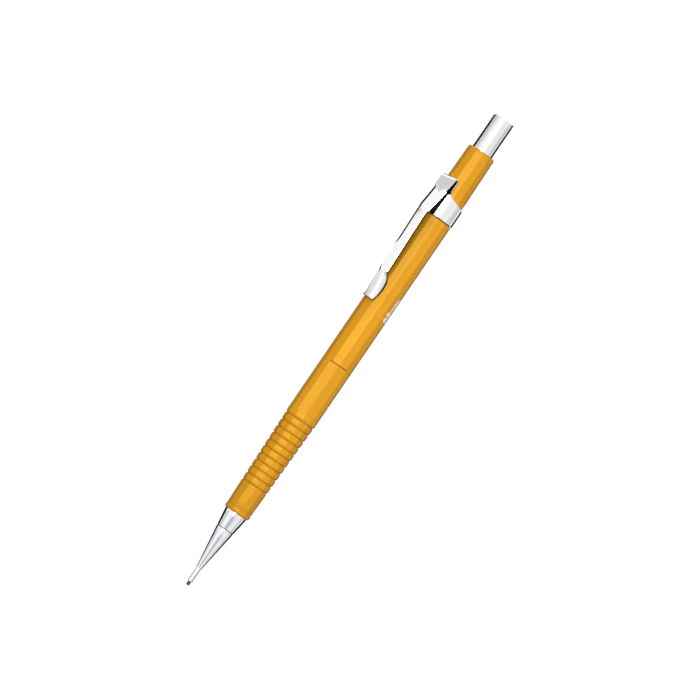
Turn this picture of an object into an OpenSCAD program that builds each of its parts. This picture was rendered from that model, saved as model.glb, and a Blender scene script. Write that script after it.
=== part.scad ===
// Mechanical pencil with a twelve-sided barrel, grip ribs, a folded pocket clip and a push cap.
// Every piece is drawn on its own axis, with z = 0 at the barrel's front face and +z towards the cap.
// lay() then rests the pencil on a barrel facet, with the point at -X, the cap at +X and the clip up.

/* [Lead] */
// Diameter of the lead
lead_d = 0.9; // [0.5:0.1:1.1]
// Length of one lead
lead_len = 60; // [50:1:70]
// Lead that shows beyond the sleeve
lead_out = 1.2; // [0.5:0.1:3]

/* [Tip] */
// Length of sleeve that shows beyond the cone
sleeve_out = 4; // [2:0.5:6]
// Length of sleeve held in the cone
sleeve_seat = 7; // [4:0.5:8]
// Wall of the lead sleeve
sleeve_wall = 0.15; // [0.1:0.01:0.25]
// Wall of the cone's nose round the sleeve
nose_wall = 0.1; // [0.08:0.01:0.3]
// Length of the cone in front of the barrel
cone_len = 17; // [16:0.5:24]
// Ledge of the cone's base round its spigot
cone_ledge = 0.38; // [0.25:0.01:0.5]
// Distance from the cone's base to its turned line
cone_line_at = 5; // [3:0.5:8]
// Width of the turned line
cone_line_w = 0.22; // [0.1:0.02:0.4]
// Depth of the turned line
cone_line_depth = 0.1; // [0.05:0.01:0.15]
// Length of the threaded spigot inside the barrel
spigot_len = 7; // [5:0.5:9]
// Wall of the spigot
spigot_wall = 0.5; // [0.45:0.05:0.6]
// Pitch of the rings that stand for the thread
thread_pitch = 0.8; // [0.6:0.1:1.2]
// Depth of the thread rings
thread_depth = 0.15; // [0.1:0.01:0.2]
// Diameter of the rubber retainer
retainer_d = 2.2; // [1.8:0.1:2.6]
// Length of the rubber retainer
retainer_len = 2.2; // [1.5:0.1:2.4]
// Distance of the retainer behind the jaws' room
retainer_gap = 0.3; // [0.1:0.05:0.5]

/* [Chuck] */
// Diameter of the chuck stem
chuck_d = 2.2; // [2.1:0.1:2.4]
// Diameter of the closed jaw head
jaw_head_d = 3.36; // [3.2:0.02:3.5]
// Length of the jaw head
jaw_head_len = 1.8; // [1.4:0.1:2.2]
// Width of the slits between the jaws
jaw_slit = 0.26; // [0.2:0.02:0.4]
// Distance from the barrel's front face to the flexing root of the jaws
jaw_root_at = 6; // [5.5:0.25:8]
// Room round the jaw head, in which it opens
jaw_room = 0.32; // [0.28:0.02:0.36]
// Room round the jaws' fingers inside the clutch ring
finger_room = 0.25; // [0.22:0.01:0.3]
// Angle of the jaws' conical backs, in degrees
jaw_cone = 18; // [14:1:24]
// Stroke of the push cap
push_travel = 2.4; // [1.5:0.1:3]
// Stroke of the clutch ring
ring_travel = 0.9; // [0.5:0.1:1.2]
// Length of the clutch ring
ring_len = 3; // [2.5:0.1:3.4]
// Wall of the clutch ring
ring_wall = 0.85; // [0.7:0.05:1]
// Depth of the clutch ring's stop inside the cone's base
ring_stop_depth = 1; // [0.8:0.1:1.5]
// Thickness of the clutch sleeve's flange
flange_t = 1.2; // [0.8:0.1:2]
// Room left past the end of the push cap's stroke
end_room = 0.7; // [0.4:0.1:1]

/* [Spring and reservoir] */
// Length of the return spring at rest
spring_len = 12; // [9:0.5:16]
// Outer diameter of the return spring
spring_d = 4.2; // [3.8:0.1:4.6]
// Diameter of the spring's wire
wire_d = 0.36; // [0.3:0.02:0.4]
// Number of turns of the return spring
spring_turns = 9; // [6:1:10]
// Outer diameter of the reservoir tube
reservoir_d = 4.9; // [4.8:0.1:5.2]
// Wall of the reservoir tube
reservoir_wall = 0.49; // [0.4:0.01:0.6]
// Length of the connector's plug in the reservoir
plug_len = 6.8; // [5:0.2:9]
// Thickness of the connector's spring seat
connector_t = 1; // [0.6:0.1:1.6]
// Edge of the connector's funnel
funnel_edge = 0.3; // [0.2:0.05:0.5]
// Length of stem held in the connector
stem_grip = 4.8; // [3:0.2:5.2]

/* [Barrel] */
// Length of the barrel
barrel_len = 111.6; // [105:0.1:125]
// Diameter across the corners of the plain body
barrel_d = 8.64; // [8.4:0.02:9.6]
// Diameter across the corners behind the front lip
front_d = 7.16; // [7:0.02:8]
// Height of the front lip above the collar behind it
lip_h = 0.08; // [0.04:0.01:0.2]
// Length of the front lip
lip_len = 1.35; // [1:0.05:2]
// Chamfer of the front lip
lip_chamfer = 0.42; // [0.2:0.02:0.5]
// Distance from the front face to the first grip groove
grip_at = 8.3; // [6:0.1:12]
// Number of grip grooves
groove_count = 11; // [6:1:14]
// Pitch of the grip grooves
groove_pitch = 2.03; // [1.6:0.01:2.6]
// Width of one grip groove
groove_w = 0.7; // [0.5:0.02:1.1]
// Depth of one grip groove
groove_depth = 0.24; // [0.1:0.02:0.4]
// Diameter across the corners at the first groove
grip_front_d = 7.56; // [7.4:0.02:8.2]
// Diameter across the corners at the last groove
grip_rear_d = 8.5; // [8:0.02:9]
// Plain length between the grip and the recessed panel
panel_gap = 1.4; // [1:0.1:20]
// Length of the recessed panel
panel_len = 15.3; // [8:0.1:24]
// Depth of the panel's two flats below the sides that they follow
panel_depth = 0.28; // [0.1:0.02:0.4]
// Length of the thinner rear of the barrel
rear_len = 20.7; // [18:0.1:26]
// Diameter across the corners under the clip's band
neck_d = 8.12; // [7.9:0.02:8.3]
// Diameter across the corners at the rear end
rear_d = 7.64; // [7.3:0.02:7.9]
// Round on the rear edge
rear_round = 0.45; // [0.2:0.05:0.55]

/* [Clip] */
// Thickness of the clip's strip
clip_t = 0.38; // [0.3:0.02:0.5]
// Width of the band round the barrel
band_w = 5.3; // [4:0.1:6.5]
// Half of the band's opening, in degrees, on the side away from the arm
band_open = 30; // [26:1:60]
// Distance from the band's rear edge to the end of the fold
fold_rise = 5.7; // [4:0.1:7.5]
// Gap inside the fold
fold_gap = 0.62; // [0.5:0.02:1]
// Gap at the root of the fold, where the arm bends from the band
fold_split = 0.12; // [0.1:0.01:0.2]
// Width of the strip at the fold
fold_w = 5; // [4.4:0.1:6]
// Length of the clip from its fold to the end of its foot
clip_len = 37.4; // [34:0.1:42]
// Distance from the fold to the shoulder where the arm narrows
flare_at = 9.9; // [8:0.1:10.6]
// Width of the arm at that shoulder
flare_w = 4.1; // [3.6:0.05:4.6]
// Distance from the fold to the arm's crest
crest_at = 11.5; // [11:0.1:14]
// Height of the crest above the barrel's facet
crest_h = 3.55; // [2.8:0.05:4]
// Width of the arm at its crest
crest_w = 3; // [2.6:0.02:3.6]
// Distance from the foot's end to the arm's neck
neck_at = 7.7; // [6:0.1:9]
// Height of the neck above the barrel's facet
arm_neck_h = 2.6; // [2:0.05:2.8]
// Width of the arm's neck
arm_neck_w = 2.8; // [2.4:0.05:3.4]
// Distance from the foot's end to its lowest point
foot_at = 3.7; // [2.5:0.1:4.5]
// Width of the foot
foot_w = 3.6; // [2.8:0.05:4]
// Height of the foot's end above the barrel's facet
foot_end_h = 1.75; // [1:0.05:2]
// Height of the arm's crown over its edges
crown_h = 0.24; // [0.1:0.02:0.5]

/* [Cap and eraser] */
// Length of cap that shows behind the barrel
cap_out = 10.2; // [8:0.1:14]
// Length of cap inside the barrel
cap_in = 6; // [4.5:0.1:8]
// Wall of the cap
cap_wall = 0.42; // [0.25:0.01:0.45]
// Thickness of the cap's end
cap_end_t = 0.5; // [0.4:0.05:0.8]
// Round on the cap's end
cap_round = 0.3; // [0.1:0.05:0.35]
// Hollow between the reservoir's end and the cap's end
cap_hollow = 8.7; // [8:0.1:11]
// Depth of the eraser's cup in the reservoir
cup_depth = 6; // [4:0.2:8]
// Wall of the eraser's cup
cup_wall = 0.2; // [0.15:0.01:0.3]
// Thickness of the cup's rim
cup_rim_t = 0.4; // [0.3:0.05:0.6]
// Height of the cup above its rim
cup_collar = 1.6; // [1:0.1:2.4]
// Length of eraser that shows above the cup's collar
eraser_out = 5.6; // [3:0.1:5.8]
// Round on the eraser's end
eraser_round = 0.6; // [0.2:0.1:1.2]

/* [Fits] */
// Radial clearance of pieces that slide or unscrew
fit_slide = 0.05; // [0.03:0.01:0.08]
// Radial clearance of pieces that are pressed together
fit_press = 0.01; // [0.005:0.005:0.015]
// Radial clearance of the reservoir and cap in the barrel
fit_loose = 0.1; // [0.08:0.01:0.12]

/* [Hidden] */
$fn = 96;

// Overshoot of a cut past the face that it opens
cut = 1;
sides = 12;
corner_turn = 180 / sides;
jaw_count = 3;
spare_count = 2;

barrel_r = barrel_d / 2;
facet_h = barrel_r * cos(corner_turn);
front_r = front_d / 2;
lip_r = front_r + lip_h;
neck_r = neck_d / 2;
rear_r = rear_d / 2;
grip_end = grip_at + (groove_count - 1) * groove_pitch + groove_w / 2;
body_start = grip_end + groove_depth;
panel_at = body_start + panel_gap;
shoulder_z = barrel_len - rear_len;
panel_h = facet_h - panel_depth;

lead_r = lead_d / 2;
lead_gap = fit_slide / 2;
sleeve_in_r = lead_r + lead_gap;
sleeve_r = sleeve_in_r + sleeve_wall;
sleeve_rear = sleeve_seat - cone_len;
sleeve_front = -cone_len - sleeve_out;
lead_tip = sleeve_front - lead_out;
grip_r = lead_r + lead_gap;
feed_r = lead_r + 2 * fit_slide;

chuck_r = chuck_d / 2;
jaw_head_r = jaw_head_d / 2;
jaw_back_len = (jaw_head_r - chuck_r) / tan(jaw_cone);
ring_front = ring_travel - ring_stop_depth;
ring_rear = ring_front + ring_len;
jaw_front = ring_front - jaw_head_len;
jaw_cone_start = ring_front - jaw_head_len / 4;
ring_bore_r = chuck_r + finger_room;
ring_r = ring_bore_r + ring_wall;
ring_room_r = ring_r + fit_slide;
jaw_room_r = jaw_head_r + jaw_room;
jaw_room_front = jaw_front - push_travel - end_room;
retainer_r = retainer_d / 2;
retainer_rear = jaw_room_front - retainer_gap;
retainer_front = retainer_rear - retainer_len;

spigot_r = ring_room_r + spigot_wall;
cone_base_r = spigot_r + cone_ledge;
cone_nose_r = sleeve_r + nose_wall;
thread_bore_r = spigot_r + fit_slide;
sleeve_nose_z = ring_rear + fit_slide;
flange_rear = spigot_len + flange_t;

spring_seat = flange_rear + spring_len;
spring_r = (spring_d - wire_d) / 2;
plug_front = spring_seat + connector_t;
plug_rear = plug_front + plug_len;
stem_rear = spring_seat + stem_grip;

reservoir_r = reservoir_d / 2;
reservoir_in_r = reservoir_r - reservoir_wall;
reservoir_bore_r = reservoir_r + fit_loose;
cap_in_r = reservoir_r + fit_slide;
cap_r = cap_in_r + cap_wall;
cap_front = barrel_len - cap_in;
cap_rear = barrel_len + cap_out;
cap_inner_end = cap_rear - cap_end_t;
cap_bore_r = cap_r + fit_loose;
cap_bore_front = cap_front - push_travel - end_room;
reservoir_rear = cap_inner_end - cap_hollow;
cup_r = reservoir_in_r - fit_slide;
cup_in_r = cup_r - cup_wall;
cup_front = reservoir_rear - cup_depth;
cup_rim_rear = reservoir_rear + cup_rim_t;
cup_rear = cup_rim_rear + cup_collar;
eraser_r = cup_in_r - fit_press;
eraser_front = cup_front + cup_wall;
eraser_rear = cup_rear + eraser_out;

band_in_r = neck_r + fit_press;
band_r = band_in_r + clip_t;
band_rear = shoulder_z + band_w;
fold_r = fold_gap / 2 + clip_t;
fold_h = band_in_r + fold_r;
fold_z = band_rear + fold_rise - fold_r;
arm_len = clip_len - fold_r;
arm_flare = flare_at - fold_r;
arm_crest = crest_at - fold_r;
arm_neck = arm_len - neck_at;
arm_foot = arm_len - foot_at;

// Basic functions
function mix(a, b, t) = a + (b - a) * t;
function ramp(x, a, b) = min(1, max(0, (x - a) / (b - a)));
function ease(t) = t * t * (3 - 2 * t);
function arc(c, r, a, b, steps) =
    [for (i = [0:steps]) c + r * [cos(mix(a, b, i / steps)), sin(mix(a, b, i / steps))]];

// Places a piece drawn along its own z axis: z becomes X, x becomes Y and y becomes Z
module lay() {
    translate([-(lead_tip + cap_rear) / 2, 0, facet_h])
        rotate([90, 0, 90])
            children();
}

// Round solid from an outline of [radius, z] points
module lathe(points) {
    rotate_extrude()
        polygon(points);
}

// Round bar, used for bores as well as for solids
module bar(r, z_start, z_end) {
    translate([0, 0, z_start])
        cylinder(r = r, h = z_end - z_start);
}

// Tube of two radii
module tube(r_out, r_in, z_start, z_end) {
    difference() {
        bar(r_out, z_start, z_end);
        bar(r_in, z_start - cut, z_end + cut);
    }
}

// Closed skin over a list of sections that have the same number of points
module skin(sections) {
    rows = len(sections);
    n = len(sections[0]);
    points = [for (section = sections) each section];
    side_faces = [
        for (i = [0:rows - 2], j = [0:n - 1])
            let (k = (j + 1) % n)
                each [
                    [i * n + j, i * n + k, (i + 1) * n + k],
                    [i * n + j, (i + 1) * n + k, (i + 1) * n + j]
                ]
    ];
    half = n / 2;
    caps = [
        for (j = [0:half - 2])
            let (a = j, b = j + 1, c = n - 2 - j, d = n - 1 - j, last = (rows - 1) * n)
                each [
                    [d, c, b], [d, b, a],
                    [last + a, last + b, last + c], [last + a, last + c, last + d]
                ]
    ];
    polyhedron(points, concat(side_faces, caps), convexity = 6);
}

// Section of a bent strip at one place along the axis, as outer points and then inner points
// drop is how far its edges lie below its crown, and power how square its shoulders are
strip_steps = 10;
function strip_section(z, crown, half_w, drop, power, t) =
    let (
        s = [for (i = [0:strip_steps]) 2 * i / strip_steps - 1],
        slope = [for (v = s) drop * power * pow(abs(v), power - 1) * sign(v) / half_w],
        outer = [for (v = s) [half_w * v, crown - drop * pow(abs(v), power)]],
        inner = [for (i = [0:strip_steps]) outer[i] - t * [slope[i], 1] / norm([slope[i], 1])]
    )
    concat(
        [for (p = outer) [p.x, p.y, z]],
        [for (i = [strip_steps:-1:0]) [inner[i].x, inner[i].y, z]]
    );

// Radius of the barrel's corners along the grip, where each groove is one wave
function grip_r_at(z) =
    let (
        turn = (z - grip_at) / groove_pitch,
        off = abs(turn - round(turn)) * groove_pitch / (groove_w / 2),
        along = (z - grip_at) / (groove_pitch * (groove_count - 1)),
        dip = off < 1 ? groove_depth * (1 + cos(180 * off)) / 2 : 0
    )
    mix(grip_front_d, grip_rear_d, along) / 2 - dip;

// Barrel
module barrel_outside() {
    steps = 6;
    lip = [
        [0, 0],
        [lip_r - lip_chamfer, 0],
        [lip_r, lip_chamfer],
        [lip_r, lip_len - lip_h],
        [front_r, lip_len]
    ];
    grooves = [
        for (i = [0:groove_count - 1], k = [0:steps])
            let (z = grip_at + i * groove_pitch + groove_w * (k / steps - 0.5))
                [grip_r_at(z), z]
    ];
    body = [
        [barrel_r, body_start],
        [barrel_r, shoulder_z],
        [neck_r, shoulder_z],
        [neck_r, band_rear]
    ];
    rear_edge = arc([rear_r - rear_round, barrel_len - rear_round], rear_round, 0, 90, 5);
    rotate([0, 0, corner_turn])
        rotate_extrude($fn = sides)
            polygon(concat(lip, grooves, body, rear_edge, [[0, barrel_len]]));
}

module panel_cut() {
    for (turn = [120, 150])
        rotate([0, 0, turn])
            translate([panel_h, -barrel_r, panel_at])
                cube([barrel_r, 2 * barrel_r, panel_len]);
}

module barrel() {
    color("goldenrod") lay()
        difference() {
            barrel_outside();
            bar(thread_bore_r, -cut, flange_rear);
            bar(reservoir_bore_r, 0, barrel_len);
            bar(cap_bore_r, cap_bore_front, barrel_len + cut);
            panel_cut();
        }
}

// Clip
module clip_band() {
    strip_drop = band_r - sqrt(band_r * band_r - fold_w * fold_w / 4);
    inset = clip_t / 8;
    rows = 6;
    strip_front = band_rear - band_w / 4;
    strip_rear = fold_z - fold_split;
    color("silver") lay() {
        rotate([0, 0, band_open - 90])
            translate([0, 0, shoulder_z])
                rotate_extrude(angle = 360 - 2 * band_open)
                    translate([band_in_r, 0])
                        square([clip_t, band_w]);
        skin([
            for (i = [0:rows])
                let (z = mix(strip_front, strip_rear, i / rows), flat = ease(ramp(z, band_rear, strip_rear)))
                    strip_section(
                        z, band_r - inset * (1 - flat), fold_w / 2, strip_drop * (1 - flat), 2,
                        clip_t - 2 * inset * (1 - flat)
                    )
        ]);
    }
}

// Crown height of the arm above the axis, at a distance from the fold's centre
function arm_crown(s) =
    s < arm_crest ? mix(fold_h + fold_r, facet_h + crest_h, pow(s / arm_crest, 1.3)) :
    s < arm_neck ? facet_h + mix(crest_h, arm_neck_h, pow(ramp(s, arm_crest, arm_neck), 1.2)) :
    facet_h + mix(arm_neck_h, foot_end_h, ramp(s, arm_neck, arm_len));

// Half of the arm's width
function arm_half_w(s) =
    (s < arm_flare ? mix(fold_w, flare_w, s / arm_flare) :
    s < arm_crest ? mix(flare_w, crest_w, ease(ramp(s, arm_flare, arm_crest))) :
    s < arm_neck ? mix(crest_w, arm_neck_w, ramp(s, arm_crest, arm_neck)) :
    mix(arm_neck_w, foot_w, ease(ramp(s, arm_neck, arm_foot)))) / 2;

// Share of the foot's full depth: it swells in from the neck and out again at its end
function foot_share(s) = ease(ramp(s, arm_neck, arm_foot)) * (1 - ease(ramp(s, arm_foot, arm_len + foot_at / 8)));

// Squareness of the arm's and the foot's shoulders
arm_power = 2.2;
foot_power = 5;

// Drop of the arm's edges below its crown
function arm_drop(s) =
    let (
        plain = crown_h * ease(ramp(s, arm_crest / 4, arm_crest * 3 / 4)),
        full = arm_crown(s) - facet_h - fit_slide
    )
    mix(plain, full, foot_share(s));

module clip_arm() {
    rows = 44;
    color("silver") lay() {
        translate([0, fold_h, fold_z])
            rotate([90, 0, 90])
                translate([0, 0, -fold_w / 2])
                    rotate([0, 0, -90])
                        rotate_extrude(angle = 180)
                            translate([fold_gap / 2, 0])
                                square([clip_t, fold_w]);
        skin([
            for (i = [0:rows])
                let (s = arm_len * (1 - i / rows))
                    strip_section(
                        fold_z - s, arm_crown(s), arm_half_w(s), arm_drop(s),
                        mix(arm_power, foot_power, foot_share(s)), clip_t
                    )
        ]);
    }
}

// Tip
module tip_cone() {
    line_r = mix(cone_base_r, cone_nose_r, cone_line_at / cone_len);
    thread_count = floor((spigot_len - thread_pitch) / thread_pitch);
    color("gainsboro") lay()
        difference() {
            lathe([
                [0, -cone_len],
                [cone_nose_r, -cone_len],
                [cone_base_r, 0],
                [spigot_r, 0],
                [spigot_r, spigot_len],
                [0, spigot_len]
            ]);
            translate([0, 0, -cone_line_at - cone_line_w / 2])
                difference() {
                    cylinder(r = cone_base_r, h = cone_line_w);
                    translate([0, 0, -cut])
                        cylinder(r = line_r - cone_line_depth, h = cone_line_w + 2 * cut);
                }
            for (i = [1:thread_count])
                tube(spigot_r + cut, spigot_r - thread_depth, i * thread_pitch, (i + 0.5) * thread_pitch);
            bar(sleeve_r + fit_press, -cone_len - cut, sleeve_rear);
            bar(feed_r, sleeve_rear - cut, retainer_front + cut);
            bar(retainer_r + fit_press, retainer_front, jaw_room_front + cut);
            bar(jaw_room_r, jaw_room_front, 0);
            bar(ring_room_r, -ring_stop_depth, spigot_len + cut);
        }
}

module lead_sleeve() {
    color("silver") lay()
        tube(sleeve_r, sleeve_in_r, sleeve_front, sleeve_rear);
}

module lead_retainer() {
    color("dimgray") lay()
        tube(retainer_r, grip_r, retainer_front, retainer_rear);
}

module writing_lead() {
    color("black") lay()
        bar(lead_r, lead_tip, lead_tip + lead_len);
}

// Chuck
module chuck_jaw(number) {
    turn = number * 360 / jaw_count;
    reach = 2 * jaw_head_r;
    apex = jaw_slit / 2 / sin(180 / jaw_count);
    color("khaki") lay()
        intersection() {
            lathe([
                [grip_r, jaw_front],
                [jaw_head_r - jaw_head_len / 8, jaw_front],
                [jaw_head_r, jaw_front + jaw_head_len / 8],
                [jaw_head_r, jaw_cone_start],
                [chuck_r, jaw_cone_start + jaw_back_len],
                [chuck_r, jaw_root_at - fit_slide],
                [feed_r, jaw_root_at - fit_slide],
                [feed_r, jaw_cone_start + jaw_back_len],
                [grip_r, jaw_cone_start + jaw_back_len]
            ]);
            rotate([0, 0, turn])
                translate([apex, 0, jaw_front - cut])
                    linear_extrude(jaw_root_at - jaw_front + 2 * cut)
                        polygon([
                            [0, 0],
                            reach * [cos(180 / jaw_count), -sin(180 / jaw_count)],
                            [reach, -reach],
                            [reach, reach],
                            reach * [cos(180 / jaw_count), sin(180 / jaw_count)]
                        ]);
        }
}

module chuck_stem() {
    color("khaki") lay()
        tube(chuck_r, feed_r, jaw_root_at, stem_rear);
}

module clutch_ring() {
    // The mouth follows the cone of the jaws' backs, one clearance outside it
    mouth_r = mix(jaw_head_r, chuck_r, (ring_front - jaw_cone_start) / jaw_back_len) + fit_slide;
    mouth_len = (mouth_r - ring_bore_r) * jaw_back_len / (jaw_head_r - chuck_r);
    color("peru") lay()
        lathe([
            [mouth_r, ring_front],
            [ring_r, ring_front],
            [ring_r, ring_rear],
            [ring_bore_r, ring_rear],
            [ring_bore_r, ring_front + mouth_len]
        ]);
}

module clutch_sleeve() {
    color("ivory") lay()
        lathe([
            [ring_bore_r, sleeve_nose_z],
            [ring_r, sleeve_nose_z],
            [ring_r, spigot_len],
            [spigot_r, spigot_len],
            [spigot_r, flange_rear],
            [ring_bore_r, flange_rear]
        ]);
}

// Spring
spring_rings = 8;
spring_sides = 6;
function spring_centre(i) =
    let (turn = 360 * i / spring_rings, share = i / (spring_turns * spring_rings))
    [
        spring_r * cos(turn),
        spring_r * sin(turn),
        mix(flange_rear + wire_d, spring_seat - wire_d, share)
    ];
function spring_ring(i) =
    let (
        turn = 360 * i / spring_rings,
        rise = (spring_len - 2 * wire_d) / spring_turns / (2 * PI),
        out = [cos(turn), sin(turn), 0],
        along = [-spring_r * sin(turn), spring_r * cos(turn), rise],
        up = cross(out, along) / norm(along)
    )
    [
        for (k = [0:spring_sides - 1])
            let (a = 360 * k / spring_sides)
                spring_centre(i) + wire_d / 2 * (cos(a) * out + sin(a) * up)
    ];
spring_count = spring_turns * spring_rings;
spring_least_gap = min([
    for (i = [0:spring_count], j = [i + spring_rings / 2:1:spring_count])
        norm(spring_centre(i) - spring_centre(j))
]) - wire_d;

module return_spring() {
    echo(spring_least_gap = spring_least_gap);
    color("silver") lay()
        skin([for (i = [0:spring_count]) spring_ring(i)]);
}

// Reservoir
module chuck_connector() {
    funnel_r = reservoir_in_r - fit_press - funnel_edge;
    color("whitesmoke") lay()
        lathe([
            [chuck_r + fit_press, spring_seat],
            [reservoir_r, spring_seat],
            [reservoir_r, plug_front],
            [reservoir_in_r - fit_press, plug_front],
            [reservoir_in_r - fit_press, plug_rear],
            [funnel_r, plug_rear],
            [feed_r, stem_rear + funnel_edge],
            [feed_r, stem_rear],
            [chuck_r + fit_press, stem_rear]
        ]);
}

module lead_reservoir() {
    color("whitesmoke") lay()
        tube(reservoir_r, reservoir_in_r, plug_front, reservoir_rear);
}

module spare_lead(number) {
    offset_r = reservoir_in_r - lead_r - fit_slide;
    spacing = 2 * asin((lead_r + fit_slide) / offset_r);
    color("black") lay()
        rotate([0, 0, spacing * (number - (spare_count + 1) / 2) - 90])
            translate([offset_r, 0, 0])
                bar(lead_r, plug_rear + lead_gap, plug_rear + lead_gap + lead_len);
}

// Cap and eraser
module eraser_ferrule() {
    color("silver") lay()
        lathe([
            [0, cup_front],
            [cup_r, cup_front],
            [cup_r, reservoir_rear],
            [reservoir_r, reservoir_rear],
            [reservoir_r, cup_rim_rear],
            [cup_r, cup_rim_rear],
            [cup_r, cup_rear],
            [cup_in_r, cup_rear],
            [cup_in_r, eraser_front],
            [0, eraser_front]
        ]);
}

module eraser() {
    color("white") lay()
        lathe(concat(
            [[0, eraser_front], [eraser_r, eraser_front]],
            arc([eraser_r - eraser_round, eraser_rear - eraser_round], eraser_round, 0, 90, 6),
            [[0, eraser_rear]]
        ));
}

module push_cap() {
    color("silver") lay()
        lathe(concat(
            [[cap_in_r, cap_front], [cap_r, cap_front]],
            arc([cap_r - cap_round, cap_rear - cap_round], cap_round, 0, 90, 6),
            [[0, cap_rear], [0, cap_inner_end], [cap_in_r, cap_inner_end]]
        ));
}

barrel();
clip_band();
clip_arm();
tip_cone();
lead_sleeve();
lead_retainer();
writing_lead();
chuck_jaw(1);  // chuck_jaw_1
chuck_jaw(2);  // chuck_jaw_2
chuck_jaw(3);  // chuck_jaw_3
chuck_stem();
clutch_ring();
clutch_sleeve();
return_spring();
chuck_connector();
lead_reservoir();
spare_lead(1);  // spare_lead_1
spare_lead(2);  // spare_lead_2
eraser_ferrule();
eraser();
push_cap();
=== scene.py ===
"""Mechanical pencil with a twelve-sided amber barrel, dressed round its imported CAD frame.

Every piece is drawn in the pencil's own millimetres: x runs from the barrel's front face towards the cap,
z points from the axis to the clip, and y lies across. Bench.settle() then brings it into the frame.
"""

import logging
import math
from dataclasses import dataclass
from enum import Enum
from typing import Any, Callable, Sequence

import bmesh
import bpy
from mathutils import Matrix, Vector

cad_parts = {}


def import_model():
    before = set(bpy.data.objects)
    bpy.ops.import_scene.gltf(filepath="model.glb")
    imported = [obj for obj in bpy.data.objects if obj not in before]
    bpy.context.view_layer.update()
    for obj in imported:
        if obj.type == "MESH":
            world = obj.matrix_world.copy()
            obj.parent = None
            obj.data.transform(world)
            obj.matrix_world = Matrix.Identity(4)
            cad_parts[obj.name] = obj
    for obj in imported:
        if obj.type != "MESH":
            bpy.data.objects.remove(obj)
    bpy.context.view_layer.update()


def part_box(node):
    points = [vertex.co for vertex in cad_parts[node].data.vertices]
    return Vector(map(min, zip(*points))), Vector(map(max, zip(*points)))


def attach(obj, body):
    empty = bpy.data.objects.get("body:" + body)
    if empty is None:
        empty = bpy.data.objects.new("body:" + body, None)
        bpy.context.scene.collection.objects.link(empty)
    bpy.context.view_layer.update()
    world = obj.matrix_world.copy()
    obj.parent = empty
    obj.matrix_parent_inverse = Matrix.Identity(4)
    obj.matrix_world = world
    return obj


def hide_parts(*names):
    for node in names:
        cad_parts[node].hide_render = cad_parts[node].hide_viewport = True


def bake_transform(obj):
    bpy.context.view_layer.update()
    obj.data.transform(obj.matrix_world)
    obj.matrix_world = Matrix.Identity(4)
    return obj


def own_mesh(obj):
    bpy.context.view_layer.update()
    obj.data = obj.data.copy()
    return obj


MM = 0.001
FULL_TURN = 2 * math.pi
Outline = list[tuple[float, float]]
Point = tuple[float, float, float]
Corner = tuple[float, float, float]
Colour = tuple[float, float, float, float]
Grain = tuple[float, float, float]
Ring = tuple[float, float, float, float]
Rule = Callable[[float, float], float]
WHITE: Colour = (1.0, 1.0, 1.0, 1.0)
log = logging.getLogger("pencil")


class Body(Enum):
    """The bodies of the frame that pieces ride on."""

    BARREL = "barrel"
    TIP = "tip"
    PLUNGER = "plunger"
    RING = "ring"
    LEAD = "lead"
    CLIP = "clip_arm"
    CAP = "cap"
    ERASER = "eraser"


class Slot(Enum):
    """The record's material slots."""

    AMBER = "amber_plastic"
    CLIP = "clip_chrome"
    CONE = "cone_chrome"
    CAP = "cap_satin"
    SLEEVE = "sleeve_steel"
    SPRING = "spring_steel"
    BRASS = "chuck_brass"
    INNER = "inner_plastic"
    RESERVOIR = "reservoir_plastic"
    RUBBER = "retainer_rubber"
    GRAPHITE = "graphite"
    ERASER = "eraser_rubber"
    FERRULE = "ferrule_metal"


def mix(a: float, b: float, share: float) -> float:
    """Return the number that lies that share of the way from a to b."""
    return a + (b - a) * share


def ramp(x: float, a: float, b: float) -> float:
    """Return how far x has come from a to b, from 0 to 1."""
    return min(1.0, max(0.0, (x - a) / (b - a)))


def ease(share: float) -> float:
    """Return a share that starts and ends softly."""
    return share * share * (3 - 2 * share)


def linear(red: int, green: int, blue: int) -> Colour:
    """Turn a screen colour into the linear colour that shaders take.

    Args:
        red: Red, from 0 to 255.
        green: Green, from 0 to 255.
        blue: Blue, from 0 to 255.

    Returns:
        The linear colour with full alpha.
    """
    values = []
    for level in (red, green, blue):
        share = level / 255
        low = share <= 0.04045
        values.append(share / 12.92 if low else ((share + 0.055) / 1.055) ** 2.4)
    return (values[0], values[1], values[2], 1.0)


def shaded(colour: Colour, share: float) -> Colour:
    """Return a colour made darker or lighter by a share."""
    return (colour[0] * share, colour[1] * share, colour[2] * share, 1.0)


def rounded(corners: Sequence[Corner], steps: int = 4) -> Outline:
    """Round the corners of a closed outline.

    Args:
        corners: Place along the axis, distance from it and size of the round, for each corner in order.
        steps: Number of steps in each round.

    Returns:
        The outline's points.
    """
    made: Outline = []
    for i, (x, r, size) in enumerate(corners):
        here = Vector((x, r))
        back = Vector(corners[i - 1][:2]) - here
        ahead = Vector(corners[(i + 1) % len(corners)][:2]) - here
        if size <= 0:
            made.append((x, r))
            continue
        half = back.angle(ahead) / 2
        reach = min(size / math.tan(half), 0.49 * back.length, 0.49 * ahead.length)
        radius = reach * math.tan(half)
        centre = here + (back.normalized() + ahead.normalized()).normalized() * (radius / math.sin(half))
        start = here + back.normalized() * reach - centre
        end = here + ahead.normalized() * reach - centre
        for k in range(steps + 1):
            point = centre + start.lerp(end, k / steps).normalized() * radius
            made.append((point.x, point.y))
    return made


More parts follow.
